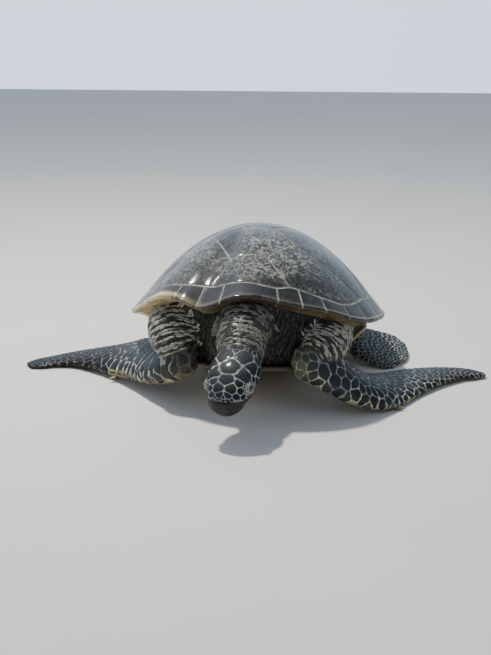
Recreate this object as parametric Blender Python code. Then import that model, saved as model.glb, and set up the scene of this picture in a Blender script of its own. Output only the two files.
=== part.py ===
"""Green sea turtle, adult, hauled out: head bowed, front of the body raised on the front flippers.

Metres, +Z up. The head points toward -Y and the turtle's left is +X. The origin is on the floor, at the
middle of the flat on which the belly rests. The shell has a frame of its own, turned nose up about that
point, and `shell_to_world` takes its points out of it.
"""

import math

import bmesh
import bpy
from mathutils import Matrix, Vector

# Shell, in its own frame: the lower face of the plastron is the plane z = 0.
SHELL_LENGTH = 0.92
SHELL_WIDTH = 0.72
SHELL_DEPTH = 0.385
NOSE_UP = math.radians(11.3)
NAPE_Y = -0.67
APEX_Y = -0.235
DOME_POWER = 2.08
RIM_HEIGHT = 0.128
RIM_FRONT_RISE = 0.055
RIM_NAPE_ARCH = 0.018
# the rim curls up over the right shoulder, with a dip before the nape, and droops over the left one
RIM_SHOULDER_ARCH = 0.033
RIM_SHOULDER_DIP = 0.020
RIM_LEFT_DROOP = 0.014
RIM_TAIL_DROP = 0.020
RIM_THICKNESS = 0.010
LIP_DROP = 0.006
LIP_INSET = 0.002
SHELL_WALL = 0.012
LIP_REACH = 0.875  # shares of the way out to the rim, as are the reaches below
BRIDGE_REACH = 0.828
DOME_REACHES = (0.18, 0.38, 0.57, 0.73, 0.86, 0.95, 1.0)
WALL_REACHES = (0.80, 0.68, 0.48, 0.22)
PLASTRON_SHARES = (0.34, 0.62, 0.76, 0.88, 1.0)
PLASTRON_BRIDGE_REACH = 0.868
FRONT_LOBE_REACH = 0.82
FRONT_LOBE_NOTCH = 0.17
REAR_LOBE_REACH = 0.76
REAR_LOBE_NOTCH = 0.18
PLASTRON_EDGE = 0.016
PLASTRON_TURN_UP = 0.60  # share of the way out at which the edge begins to turn up
PLASTRON_EDGE_THINNING = 0.004
PLASTRON_THICKNESS = 0.013
PLASTRON_SINK = 0.012
REAR_LOBE_START = -0.03
REAR_LOBE_SLOPE = math.tan(math.radians(13.3))
AXILLA = (57, 79)  # degrees round the rim over which the bridge begins and ends
GROIN = (94, 116)
FLANK_BULGE = 0.03
TRUNK_SHARE = 0.96
EDGE_CLEARANCE = 0.003
SECTORS = 48
GAP = 0.0004

# Head, measured from the plane where it meets the neck.
HEAD_BASE = Vector((-0.014, -0.682, 0.189))
HEAD_YAW = math.radians(-12)
HEAD_DOWN = math.radians(25)
HEAD_STATIONS = (
    # along, half width, top, bottom
    (0.000, 0.052, 0.042, 0.048),
    (0.026, 0.061, 0.048, 0.054),
    (0.056, 0.066, 0.050, 0.056),
    (0.086, 0.066, 0.049, 0.055),
    (0.114, 0.061, 0.044, 0.052),
    (0.140, 0.053, 0.034, 0.049),
    (0.160, 0.046, 0.021, 0.046),
    (0.173, 0.037, 0.006, 0.042),
    (0.179, 0.028, -0.008, 0.036),
)
HEAD_SIDES = 20
EYE_RADIUS = 0.0175
EYE_AT = (0.114, 0.0465, 0.008)  # along, aside, up
MOUTH_BACK = 0.066
MOUTH_DROP = 0.027
MOUTH_SLOPE = math.radians(-3)
BEAK_BACK = 0.104
BROW_SLOPE = math.radians(25)
JAW_BACK_SLOPE = math.radians(-115)

# Lofts: centre, direction from the trailing to the leading edge, half chord, half thickness.
NECK_STATIONS = (
    ((-0.012, -0.460, 0.240), (1, 0, 0), 0.092, 0.085),
    ((-0.016, -0.540, 0.238), (1, 0, 0), 0.080, 0.078),
    ((-0.018, -0.610, 0.222), (1, 0, 0), 0.068, 0.066),
    ((-0.016, -0.670, 0.196), (1, 0.1, 0), 0.060, 0.054),
    ((-0.018, -0.696, 0.183), (1, 0.25, 0), 0.050, 0.045),
)
ARM_STATIONS = {
    "left": (
        ((0.160, -0.36, 0.186), (0, 0, 1), 0.062, 0.085),
        ((0.198, -0.44, 0.187), (0, 0, 1), 0.060, 0.072),
        ((0.200, -0.51, 0.182), (0, -0.2, 1), 0.058, 0.064),
        ((0.182, -0.563, 0.170), (0, -0.6, 1), 0.052, 0.055),
        ((0.162, -0.588, 0.160), (0, -0.8, 1), 0.032, 0.034),
    ),
    "right": (
        ((-0.160, -0.36, 0.205), (0, 0, 1), 0.072, 0.085),
        ((-0.198, -0.44, 0.210), (0, 0, 1), 0.076, 0.084),
        ((-0.206, -0.500, 0.196), (0, -0.4, 1), 0.070, 0.076),
        ((-0.200, -0.535, 0.168), (0, -1, 0.8), 0.054, 0.060),
        ((-0.192, -0.550, 0.145), (0, -1, 0.5), 0.030, 0.034),
    ),
}
# From the rounded point of the elbow to the tip.
BLADE_STATIONS = {
    "left": (
        ((0.114, -0.604, 0.158), (0.0, -0.50, -0.85), 0.018, 0.016),
        ((0.130, -0.602, 0.156), (0.0, -0.50, -0.85), 0.042, 0.034),
        ((0.172, -0.594, 0.142), (0.1, -0.50, -0.85), 0.054, 0.041),
        ((0.226, -0.574, 0.112), (0.3, -0.55, -0.75), 0.060, 0.037),
        ((0.283, -0.548, 0.076), (0.4, -0.68, -0.60), 0.072, 0.031),
        ((0.337, -0.492, 0.046), (0.5, -0.78, -0.38), 0.079, 0.025),
        ((0.395, -0.395, 0.025), (0.65, -0.74, -0.18), 0.076, 0.021),
        ((0.470, -0.305, 0.018), (0.55, -0.83, -0.05), 0.070, 0.017),
        ((0.560, -0.250, 0.013), (0.30, -0.95, 0.0), 0.053, 0.013),
        ((0.625, -0.244, 0.010), (0.05, -1.0, 0.0), 0.035, 0.010),
        ((0.654, -0.252, 0.008), (0.0, -1.0, 0.0), 0.016, 0.006),
    ),
    "right": (
        ((-0.146, -0.574, 0.146), (-0.1, -0.45, -0.90), 0.018, 0.016),
        ((-0.160, -0.566, 0.142), (-0.1, -0.45, -0.90), 0.042, 0.036),
        ((-0.196, -0.535, 0.130), (-0.2, -0.48, -0.86), 0.060, 0.042),
        ((-0.245, -0.478, 0.104), (-0.35, -0.45, -0.80), 0.068, 0.037),
        ((-0.300, -0.398, 0.082), (-0.45, -0.48, -0.74), 0.072, 0.031),
        ((-0.362, -0.315, 0.060), (-0.55, -0.58, -0.58), 0.075, 0.025),
        ((-0.435, -0.243, 0.037), (-0.50, -0.82, -0.28), 0.075, 0.020),
        ((-0.520, -0.203, 0.018), (-0.25, -0.96, -0.10), 0.066, 0.016),
        ((-0.600, -0.212, 0.0095), (0.0, -1.0, 0.0), 0.052, 0.012),
        ((-0.652, -0.240, 0.0065), (0.15, -1.0, 0.0), 0.042, 0.009),
        ((-0.678, -0.256, 0.0055), (0.2, -1.0, 0.0), 0.027, 0.006),
    ),
}
HIND_STATIONS = {
    "left": (
        ((0.100, 0.040, 0.112), (0.2, -1.0, 0.0), 0.046, 0.040),
        ((0.180, 0.018, 0.094), (0.2, -1.0, -0.1), 0.056, 0.036),
        ((0.252, -0.028, 0.066), (0.3, -0.95, -0.2), 0.074, 0.027),
        ((0.318, -0.072, 0.043), (0.3, -0.95, -0.26), 0.100, 0.018),
        ((0.375, -0.092, 0.026), (0.2, -0.97, -0.24), 0.110, 0.013),
        ((0.416, -0.098, 0.017), (0.0, -1.0, -0.20), 0.084, 0.010),
        ((0.437, -0.102, 0.010), (0.0, -1.0, -0.1), 0.042, 0.007),
    ),
    "right": (
        ((-0.100, 0.030, 0.112), (-0.3, -1.0, 0.0), 0.046, 0.040),
        ((-0.165, 0.030, 0.092), (-0.3, -0.95, 0.0), 0.056, 0.036),
        ((-0.213, 0.070, 0.058), (-0.7, -0.70, 0.0), 0.070, 0.027),
        ((-0.245, 0.125, 0.030), (-0.87, -0.50, 0.0), 0.090, 0.018),
        ((-0.270, 0.175, 0.0115), (-0.90, -0.45, 0.0), 0.092, 0.014),
        ((-0.288, 0.212, 0.0065), (-0.90, -0.45, 0.0), 0.068, 0.010),
        ((-0.297, 0.231, 0.0055), (-0.90, -0.45, 0.0), 0.034, 0.007),
    ),
}
LEADING_BIAS = 0.42
TAIL_STATIONS = (
    ((0.0, 0.060, 0.090), (1, 0, 0), 0.055, 0.044),
    ((0.0, 0.130, 0.080), (1, 0, 0), 0.042, 0.034),
    ((0.0, 0.190, 0.066), (1, 0, 0), 0.030, 0.025),
    ((0.0, 0.240, 0.052), (1, 0, 0), 0.018, 0.016),
    ((0.0, 0.272, 0.043), (1, 0, 0), 0.007, 0.007),
)
CLAW_LENGTH = 0.030
CLAW_RADIUS = 0.0065
CLAW_LIFT = 0.002
# the station at which each claw leaves the leading edge
CLAW_STATION = {"front": 5, "hind": 3}

SKIN = ("skin", (0.055, 0.058, 0.050), 0.45)
SHELL = ("shell", (0.060, 0.055, 0.032), 0.25)
BELLY = ("belly_plate", (0.62, 0.52, 0.30), 0.40)
BEAK = ("beak", (0.12, 0.095, 0.065), 0.35)
CLAW = ("claw", (0.16, 0.12, 0.08), 0.35)
EYE = ("eye", (0.010, 0.008, 0.006), 0.08)


def clear_scene():
    for obj in list(bpy.data.objects):
        bpy.data.objects.remove(obj, do_unlink=True)


def material(spec):
    name, colour, roughness = spec
    made = bpy.data.materials.get(name) or bpy.data.materials.new(name)
    made.use_nodes = True
    shader = made.node_tree.nodes["Principled BSDF"]
    shader.inputs["Base Color"].default_value = (*colour, 1.0)
    shader.inputs["Roughness"].default_value = roughness
    shader.inputs["Metallic"].default_value = 0.0
    return made


def new_object(name, bm, collection, spec=None):
    """A mesh object from bm, with its normals facing out."""
    bmesh.ops.recalc_face_normals(bm, faces=bm.faces)
    if bm.calc_volume(signed=True) < 0:
        bmesh.ops.reverse_faces(bm, faces=bm.faces)
    mesh = bpy.data.meshes.new(name)
    bm.to_mesh(mesh)
    bm.free()
    mesh.shade_smooth()
    obj = bpy.data.objects.new(name, mesh)
    collection.objects.link(obj)
    if spec:
        mesh.materials.append(material(spec))
    return obj


def bridge_rings(bm, rings, start, end, turned_spans=0):
    """Triangles between rings of points, and a fan to a pole at each end.

    The first `turned_spans` spans are split along their other diagonal, so that two shells whose rings run
    opposite ways still meet triangle to triangle.
    """
    rows = [[bm.verts.new(p) for p in ring] for ring in rings]
    for span, (row, following) in enumerate(zip(rows, rows[1:])):
        for k in range(len(row)):
            j = (k + 1) % len(row)
            if span < turned_spans:
                bm.faces.new((row[k], row[j], following[k]))
                bm.faces.new((row[j], following[j], following[k]))
            else:
                bm.faces.new((row[k], row[j], following[j]))
                bm.faces.new((row[k], following[j], following[k]))
    for pole, row in ((start, rows[0]), (end, rows[-1])):
        middle = bm.verts.new(pole)
        for k in range(len(row)):
            bm.faces.new((row[k], row[(k + 1) % len(row)], middle))


def catmull_rom(a, b, c, d, t):
    return 0.5 * (
        2 * b + (c - a) * t + (2 * a - 5 * b + 4 * c - d) * t * t + (3 * b - a - 3 * c + d) * t**3
    )


def blend_stations(stations, steps):
    """Stations as flat rows of numbers, with `steps` smooth spans between each pair."""
    rows = [tuple(stations[0])] + [tuple(s) for s in stations] + [tuple(stations[-1])]
    found = []
    for i in range(1, len(rows) - 2):
        for step in range(steps):
            t = step / steps
            found.append([catmull_rom(*four, t) for four in zip(*rows[i - 1 : i + 3])])
    found.append(list(rows[-2]))
    return found


def limb(name, stations, sides, steps, collection, spec=None, leading_bias=0.0, grow=0.0):
    """A loft through (centre, chord direction, half chord, half thickness) stations."""
    flat = [(*centre, *chord, half, thick) for centre, chord, half, thick in stations]
    rows = blend_stations(flat, steps)
    centres = [Vector(row[0:3]) for row in rows]
    rings = []
    for i, row in enumerate(rows):
        along = (centres[min(i + 1, len(rows) - 1)] - centres[max(i - 1, 0)]).normalized()
        chord = Vector(row[3:6])
        chord = (chord - along * chord.dot(along)).normalized()
        normal = along.cross(chord).normalized()
        half, thick = row[6] + grow, row[7] + grow
        ring = []
        for k in range(sides):
            angle = 2 * math.pi * k / sides
            across = math.cos(angle)
            fullness = (1 + leading_bias * across) / (1 + leading_bias * 0.4)
            ring.append(centres[i] + chord * half * across + normal * thick * fullness * math.sin(angle))
        rings.append(ring)
    first = (centres[1] - centres[0]).normalized()
    last = (centres[-1] - centres[-2]).normalized()
    bm = bmesh.new()
    bridge_rings(
        bm,
        rings,
        centres[0] - first * (rows[0][7] * 0.25 + grow),
        centres[-1] + last * (rows[-1][7] * 0.8 + grow),
    )
    return new_object(name, bm, collection, spec)


def smooth_step(low, high, value):
    t = min(max((value - low) / (high - low), 0.0), 1.0)
    return t * t * (3 - 2 * t)


# The shell's own shape: polar about a vertical line through the apex.


def rim_point(angle):
    """The edge of the carapace. Angle 0 is the nape, a quarter turn the left side."""
    side = math.sin(angle)
    blunt = 0.86 + 0.14 * (1 - math.cos(angle)) / 2
    reach = math.copysign(abs(side) ** blunt, side)
    x = SHELL_WIDTH / 2 * reach * (1 + 0.10 * math.cos(angle)) / 1.005
    y = NAPE_Y + SHELL_LENGTH / 2 * (1 - math.cos(angle))
    return x, y


def rim_height(angle):
    turn = abs(math.remainder(angle, 2 * math.pi))
    front = (1 + math.cos(min(turn * 2.4, math.pi))) / 2
    back = smooth_step(math.pi / 2, math.pi, turn)
    nape = RIM_NAPE_ARCH * math.exp(-((turn / 0.16) ** 2))
    curl = RIM_SHOULDER_ARCH * math.exp(-(((turn - 0.63) / 0.30) ** 2))
    curl -= RIM_SHOULDER_DIP * math.exp(-(((turn - 0.27) / 0.13) ** 2))
    droop = RIM_LEFT_DROOP * math.exp(-(((turn - 0.80) / 0.30) ** 2))
    shoulder = curl if math.remainder(angle, 2 * math.pi) < 0 else -droop
    return RIM_HEIGHT + RIM_FRONT_RISE * front + nape + shoulder - RIM_TAIL_DROP * back


def polar_point(reach, angle, height):
    x, y = rim_point(angle)
    return Vector((x * reach, APEX_Y + (y - APEX_Y) * reach, height))


def dome_point(reach, angle):
    low = rim_height(angle)
    return polar_point(reach, angle, low + (SHELL_DEPTH - low) * (1 - reach**DOME_POWER))


def dome_inside(reach, angle, depth):
    """The dome's surface moved in by depth, along its normal."""
    step = 0.01
    here = dome_point(reach, angle)
    out = dome_point(reach + step, angle) - dome_point(reach - step, angle)
    around = dome_point(reach, angle + step) - dome_point(reach, angle - step)
    return here - out.cross(around).normalized() * depth * (1 if out.cross(around).z > 0 else -1)


def bridge_share(angle):
    """1 where the plastron reaches up to the carapace, between the front and hind limbs."""
    turn = math.degrees(abs(math.remainder(angle, 2 * math.pi)))
    return smooth_step(*AXILLA, turn) * (1 - smooth_step(*GROIN, turn))


def lip_height(angle):
    """The under side of the marginal scutes, where it meets the skin or the bridge."""
    return rim_height(angle) - RIM_THICKNESS - LIP_DROP * (1 + bridge_share(angle))


def lip_reach(angle):
    share = bridge_share(angle)
    return LIP_REACH + (BRIDGE_REACH - LIP_REACH) * share


def plastron_reach(angle):
    turn = math.degrees(abs(math.remainder(angle, 2 * math.pi)))
    front = FRONT_LOBE_REACH - FRONT_LOBE_NOTCH * smooth_step(14, 44, turn)
    rear = REAR_LOBE_REACH - REAR_LOBE_NOTCH * smooth_step(20, 46, 180 - turn)
    lobe = front if turn < 90 else rear
    return lobe + (PLASTRON_BRIDGE_REACH - lobe) * bridge_share(angle)


def plastron_edge_height(angle):
    return PLASTRON_EDGE + (lip_height(angle) - GAP - PLASTRON_EDGE) * bridge_share(angle)


def plastron_point(share, angle):
    """The lower face of the plastron, `share` of the way from its middle to its edge."""
    reach = plastron_reach(angle) * share
    point = polar_point(reach, angle, 0.0)
    lift = max(point.y - REAR_LOBE_START, 0.0) * REAR_LOBE_SLOPE * (1 - bridge_share(angle))
    turned_up = plastron_edge_height(angle) * smooth_step(PLASTRON_TURN_UP, 1.0, share) ** 1.5
    point.z = turned_up + lift - PLASTRON_SINK
    return point


def shell_to_world(point):
    return Matrix.Rotation(-NOSE_UP, 4, "X") @ point


def shell_object(name, rings, start, end, collection, spec, turned_spans=0):
    bm = bmesh.new()
    pitched = [[shell_to_world(p) for p in ring] for ring in rings]
    bridge_rings(bm, pitched, shell_to_world(start), shell_to_world(end), turned_spans)
    return new_object(name, bm, collection, spec)


def sector_ring(make):
    return [make(2 * math.pi * k / SECTORS) for k in range(SECTORS)]


def make_carapace(collection):
    """A bowl, mouth down, whose rim is a wedge with a blunt edge."""
    rings = [sector_ring(lambda a, r=r: dome_point(r, a)) for r in DOME_REACHES]
    rings.append(sector_ring(lambda a: polar_point(0.995, a, rim_height(a) - RIM_THICKNESS)))
    rings.append(sector_ring(lambda a: polar_point(lip_reach(a), a, lip_height(a))))
    rings += [sector_ring(lambda a, r=r: dome_inside(r, a, SHELL_WALL)) for r in WALL_REACHES]
    top = Vector((0, APEX_Y, SHELL_DEPTH))
    below = Vector((0, APEX_Y, SHELL_DEPTH - SHELL_WALL))
    return shell_object("carapace", rings, top, below, collection, SHELL)


def make_plastron(collection):
    """A dish with its sides turned up to the carapace, which make the bridge."""
    rings = [sector_ring(lambda a, s=s: plastron_point(s, a)) for s in PLASTRON_SHARES]
    rings += [sector_ring(lambda a, s=s: plastron_inside(s, a)) for s in reversed(PLASTRON_SHARES)]
    bottom = Vector((0, APEX_Y, -PLASTRON_SINK))
    top = bottom + Vector((0, 0, PLASTRON_THICKNESS))
    return shell_object("plastron", rings, bottom, top, collection, BELLY)


def plastron_inside(share, angle, extra=0.0):
    """The upper face of the plastron, its thickness above the lower one along the normal."""
    step = 0.02
    here = plastron_point(share, angle)
    out = plastron_point(share + step, angle) - plastron_point(share - step, angle)
    around = plastron_point(share, angle + step) - plastron_point(share, angle - step)
    normal = out.cross(around).normalized()
    thickness = PLASTRON_THICKNESS - PLASTRON_EDGE_THINNING * smooth_step(0.8, 1.0, share)
    inside = here + normal * (thickness + extra)
    inside.z = min(inside.z, lip_height(angle) - GAP)
    return inside


def make_trunk(collection):
    """The body inside the shell, and its skin in the openings before and behind."""
    rings = [
        sector_ring(lambda a, r=r: dome_inside(r, a, SHELL_WALL + GAP)) for r in reversed(WALL_REACHES)
    ]
    rings.append(sector_ring(trunk_lip))
    rings.append(sector_ring(flank_point))
    rings.append(sector_ring(lambda a: plastron_inside(TRUNK_SHARE, a, EDGE_CLEARANCE)))
    rings += [sector_ring(lambda a, s=s: plastron_inside(s, a, GAP)) for s in PLASTRON_SHARES[-2::-1]]
    top = Vector((0, APEX_Y, SHELL_DEPTH - SHELL_WALL - GAP))
    bottom = Vector((0, APEX_Y, PLASTRON_THICKNESS - PLASTRON_SINK + GAP))
    return shell_object("trunk", rings, top, bottom, collection, SKIN, turned_spans=4)


def trunk_lip(angle):
    """Where the skin leaves the under side of the marginal scutes."""
    return polar_point(lip_reach(angle) - LIP_INSET, angle, lip_height(angle) - GAP)


def flank_point(angle):
    """Halfway down the skin between the carapace and the plastron."""
    middle = (trunk_lip(angle) + plastron_inside(TRUNK_SHARE, angle, EDGE_CLEARANCE)) / 2
    bulge = 1 + FLANK_BULGE * (1 - bridge_share(angle))
    middle.x *= bulge
    middle.y = APEX_Y + (middle.y - APEX_Y) * bulge
    return middle


# Cutting.


def grown(obj, collection, by=GAP):
    """A hidden copy of obj, larger all over by `by`, for cutting its neighbours."""
    copy = bpy.data.objects.new(obj.name + "_grown", obj.data.copy())
    collection.objects.link(copy)
    copy.matrix_world = obj.matrix_world
    for modifier in obj.modifiers:
        if modifier.type == "BOOLEAN":
            cut(copy, modifier.object, modifier.operation)
    swell = copy.modifiers.new("Swell", "DISPLACE")
    swell.strength = by
    swell.mid_level = 0.0
    copy.hide_render = True
    copy.display_type = "WIRE"
    return copy


def cut(obj, cutter, operation="DIFFERENCE"):
    modifier = obj.modifiers.new("Cut " + cutter.name, "BOOLEAN")
    modifier.operation = operation
    modifier.solver = "EXACT"
    modifier.object = cutter


def box_cutter(name, low, high, frame, collection):
    """A box between two corners given in `frame`."""
    bm = bmesh.new()
    bmesh.ops.create_cube(bm, size=1.0)
    size = Vector(high) - Vector(low)
    placed = Matrix.Translation((Vector(high) + Vector(low)) / 2) @ Matrix.Diagonal((*size, 1))
    bmesh.ops.transform(bm, matrix=frame @ placed, verts=bm.verts)
    obj = new_object(name, bm, collection)
    obj.hide_render = True
    obj.display_type = "WIRE"
    return obj


# Head.


def head_frame():
    """Local +Y runs to the snout, +X to the turtle's right and +Z to the crown."""
    facing = Matrix.Rotation(math.pi + HEAD_YAW, 4, "Z")
    return Matrix.Translation(HEAD_BASE) @ facing @ Matrix.Rotation(-HEAD_DOWN, 4, "X")


def make_head(collection):
    frame = head_frame()
    rows = blend_stations(HEAD_STATIONS, 2)
    rings = []
    for along, half, top, bottom in rows:
        ring = []
        for k in range(HEAD_SIDES):
            angle = 2 * math.pi * k / HEAD_SIDES
            across = math.copysign(abs(math.cos(angle)) ** 0.88, math.cos(angle))
            up = math.copysign(abs(math.sin(angle)) ** 0.92, math.sin(angle))
            narrow = 1 - 0.16 * max(-up, 0)
            height = up * (top if up > 0 else bottom)
            ring.append(frame @ Vector((half * across * narrow, along, height)))
        rings.append(ring)
    bm = bmesh.new()
    start = frame @ Vector((0, 0, 0))
    end = frame @ Vector((0, rows[-1][0] + 0.001, (rows[-1][2] - rows[-1][3]) / 2))
    bridge_rings(bm, rings, start, end)
    return new_object("head", bm, collection, SKIN)


def make_eyes(head, parts, cutters):
    frame = head_frame()
    along, aside, up = EYE_AT
    for side, sign in (("left", -1), ("right", 1)):
        centre = frame @ Vector((sign * aside, along, up))
        for name, radius, home in (
            ("eye_" + side, EYE_RADIUS, parts),
            ("eye_socket_" + side, EYE_RADIUS + GAP * 2, cutters),
        ):
            bm = bmesh.new()
            bmesh.ops.create_uvsphere(bm, u_segments=14, v_segments=8, radius=radius)
            bmesh.ops.transform(bm, matrix=Matrix.Translation(centre), verts=bm.verts)
            obj = new_object(name, bm, home, EYE)
            if home is cutters:
                obj.hide_render = True
                obj.display_type = "WIRE"
                cut(head, obj)


def plane_at(frame, along, up, slope):
    """A point and a normal, for a plane across the head that climbs forward at `slope`."""
    turned = frame @ Matrix.Translation((0, along, up)) @ Matrix.Rotation(slope, 4, "X")
    return turned.translation, (turned.to_3x3() @ Vector((0, 0, 1))).normalized()


def wedge_cutter(name, middle, planes, collection):
    """What is left of a large cube after the far side of each (point, normal) plane is cut away."""
    bm = bmesh.new()
    bmesh.ops.create_cube(bm, size=0.5, matrix=Matrix.Translation(middle))
    for point, normal in planes:
        geometry = bm.verts[:] + bm.edges[:] + bm.faces[:]
        cut_edges = bmesh.ops.bisect_plane(
            bm, geom=geometry, plane_co=point, plane_no=normal, clear_inner=True
        )["geom_cut"]
        bmesh.ops.contextual_create(bm, geom=[e for e in cut_edges if isinstance(e, bmesh.types.BMEdge)])
    obj = new_object(name, bm, collection)
    obj.hide_render = True
    obj.display_type = "WIRE"
    return obj


def make_beak(head, parts, cutters):
    """The head's own loft, parted by the mouth and by the back edge of the horn."""
    frame = head_frame()
    mouth, mouth_up = plane_at(frame, MOUTH_BACK, -MOUTH_DROP, MOUTH_SLOPE)
    brow, brow_up = plane_at(frame, BEAK_BACK, -MOUTH_DROP, BROW_SLOPE)
    jaw, jaw_ahead = plane_at(frame, BEAK_BACK, -MOUTH_DROP, JAW_BACK_SLOPE)
    sides = {
        "beak_upper": ((mouth, mouth_up), (brow, -brow_up)),
        "beak_lower": ((mouth, -mouth_up), (jaw, jaw_ahead)),
    }
    whole = head.data.copy()
    for name, planes in sides.items():
        piece = bpy.data.objects.new(name, whole.copy())
        parts.objects.link(piece)
        piece.data.materials.clear()
        piece.data.materials.append(material(BEAK))
        inside = [(point + normal * GAP / 2, normal) for point, normal in planes]
        outside = [(point - normal * GAP / 2, normal) for point, normal in planes]
        cut(piece, wedge_cutter(name + "_kept", HEAD_BASE, inside, cutters), "INTERSECT")
        cut(head, wedge_cutter(name + "_removed", HEAD_BASE, outside, cutters))


def make_claw(name, flipper, stations, index, parts, cutters):
    """A short cone on the leading edge, turned a little toward the tip."""
    centre, chord, half, _ = stations[index]
    onward = (Vector(stations[index + 1][0]) - Vector(centre)).normalized()
    chord = Vector(chord)
    chord = (chord - onward * chord.dot(onward)).normalized()
    way = (chord + onward * 0.5).normalized()
    root = Vector(centre) + chord * (half - CLAW_LENGTH * 0.1) + way * CLAW_LENGTH * 0.4
    root.z = max(root.z, CLAW_RADIUS + CLAW_LIFT)
    way.z = 0.0
    bm = bmesh.new()
    bmesh.ops.create_cone(
        bm, cap_ends=True, segments=10, radius1=CLAW_RADIUS, radius2=CLAW_RADIUS * 0.2, depth=CLAW_LENGTH
    )
    turn = way.to_track_quat("Z", "Y").to_matrix().to_4x4()
    bmesh.ops.transform(bm, matrix=Matrix.Translation(root) @ turn, verts=bm.verts)
    claw = new_object(name, bm, parts, CLAW)
    cut(claw, grown(flipper, cutters))


def main():
    clear_scene()
    parts = bpy.data.collections.new("green_sea_turtle")
    cutters = bpy.data.collections.new("cutters")
    for collection in (parts, cutters):
        bpy.context.scene.collection.children.link(collection)

    below = box_cutter("below_floor", (-2, -2, -1), (2, 2, 0), Matrix.Identity(4), cutters)
    carapace = make_carapace(parts)
    plastron = make_plastron(parts)
    trunk = make_trunk(parts)
    shell = [grown(obj, cutters) for obj in (carapace, plastron, trunk)]
    cut(plastron, below)

    neck = limb("neck", NECK_STATIONS, 24, 3, parts, SKIN)
    head = make_head(parts)
    for cutter in shell:
        cut(neck, cutter)
    neck_cutter = grown(neck, cutters)
    make_beak(head, parts, cutters)
    make_eyes(head, parts, cutters)
    cut(head, neck_cutter)

    for side in ("left", "right"):
        blade = limb("front_flipper_" + side, BLADE_STATIONS[side], 16, 2, parts, SKIN, LEADING_BIAS)
        cut(blade, below)
        arm = limb("front_arm_" + side, ARM_STATIONS[side], 18, 2, parts, SKIN)
        for cutter in (*shell, neck_cutter, grown(blade, cutters)):
            cut(arm, cutter)
        hind = limb("hind_flipper_" + side, HIND_STATIONS[side], 16, 2, parts, SKIN, LEADING_BIAS)
        for cutter in (*shell, below):
            cut(hind, cutter)
        make_claw("front_claw_" + side, blade, BLADE_STATIONS[side], CLAW_STATION["front"], parts, cutters)
        make_claw("hind_claw_" + side, hind, HIND_STATIONS[side], CLAW_STATION["hind"], parts, cutters)
    tail = limb("tail", TAIL_STATIONS, 12, 2, parts, SKIN)
    for cutter in shell:
        cut(tail, cutter)


main()
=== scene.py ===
import math
import random

import bmesh
import bpy
import numpy as np
from mathutils import Matrix, Vector, geometry, kdtree, noise
from mathutils.bvhtree import BVHTree


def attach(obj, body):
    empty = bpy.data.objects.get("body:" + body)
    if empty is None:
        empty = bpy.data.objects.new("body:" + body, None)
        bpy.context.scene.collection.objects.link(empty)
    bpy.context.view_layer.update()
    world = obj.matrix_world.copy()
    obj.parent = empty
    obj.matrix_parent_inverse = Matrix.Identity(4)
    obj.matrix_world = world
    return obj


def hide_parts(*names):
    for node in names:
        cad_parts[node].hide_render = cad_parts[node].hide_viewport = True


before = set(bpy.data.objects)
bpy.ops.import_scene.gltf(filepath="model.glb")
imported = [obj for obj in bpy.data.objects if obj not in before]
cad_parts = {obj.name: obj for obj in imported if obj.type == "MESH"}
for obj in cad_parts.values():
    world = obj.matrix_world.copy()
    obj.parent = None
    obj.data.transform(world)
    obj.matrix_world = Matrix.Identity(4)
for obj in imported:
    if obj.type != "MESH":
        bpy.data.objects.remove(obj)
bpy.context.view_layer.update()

# Metres throughout. The head points toward -Y, the turtle's left is +X, the floor is z = 0.

parts = bpy.data.collections.new("seaTurtle")
bpy.context.scene.collection.children.link(parts)


def smoothStep(low, high, value):
    t = np.clip((value - low) / (high - low), 0.0, 1.0)
    return t * t * (3 - 2 * t)


def hump(value, middle, width):
    return np.exp(-(((value - middle) / width) ** 2))


def roundTurns(count):
    return np.linspace(0, 2 * np.pi, count, endpoint=False)


def twiceArea(loop):
    return (loop[:, 0] * np.roll(loop[:, 1], -1) - np.roll(loop[:, 0], -1) * loop[:, 1]).sum()


def addMarks(mesh, floats, vectors=None):
    for key, values in floats.items():
        mesh.attributes.new(key, "FLOAT", "POINT").data.foreach_set("value", np.asarray(values, np.float32))
    for key, values in (vectors or {}).items():
        flat = np.asarray(values, np.float32).ravel()
        mesh.attributes.new(key, "FLOAT_VECTOR", "POINT").data.foreach_set("vector", flat)


def addUnwrap(mesh, uv):
    layer = mesh.uv_layers.new(name="OFBake")
    corner = np.empty(len(mesh.loops), np.int32)
    mesh.loops.foreach_get("vertex_index", corner)
    layer.data.foreach_set("uv", np.asarray(uv, np.float32)[corner].ravel())


def linkPiece(name, mesh):
    obj = bpy.data.objects.new(name, mesh)
    parts.objects.link(obj)
    return obj


def newPiece(name, points, faces, material, floats=None, vectors=None, uv=None):
    mesh = bpy.data.meshes.new(name)
    mesh.from_pydata(np.asarray(points, float).tolist(), [], faces)
    addMarks(mesh, floats or {}, vectors)
    if uv is not None:
        addUnwrap(mesh, uv)
    mesh.shade_smooth()
    mesh.materials.append(material)
    return linkPiece(name, mesh)


def verticesOf(mesh):
    points = np.empty(len(mesh.vertices) * 3)
    mesh.vertices.foreach_get("co", points)
    return points.reshape(-1, 3)


def normalsOf(mesh):
    normals = np.empty(len(mesh.vertices) * 3, np.float32)
    mesh.vertices.foreach_get("normal", normals)
    return normals.reshape(-1, 3).astype(float)


def moveTo(mesh, points):
    mesh.vertices.foreach_set("co", points.ravel())
    mesh.update()


# Materials. addNode takes node properties and inputs in one dictionary: a hex colour, a number, a node or a socket.
# A tuple that starts with a node or socket is a smooth step of it: from, to, and the values at each.


def linear(hexColour):
    channels = [int(hexColour[i : i + 2], 16) / 255 for i in (1, 3, 5)]
    return (*[c / 12.92 if c <= 0.04045 else ((c + 0.055) / 1.055) ** 2.4 for c in channels], 1.0)


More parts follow.
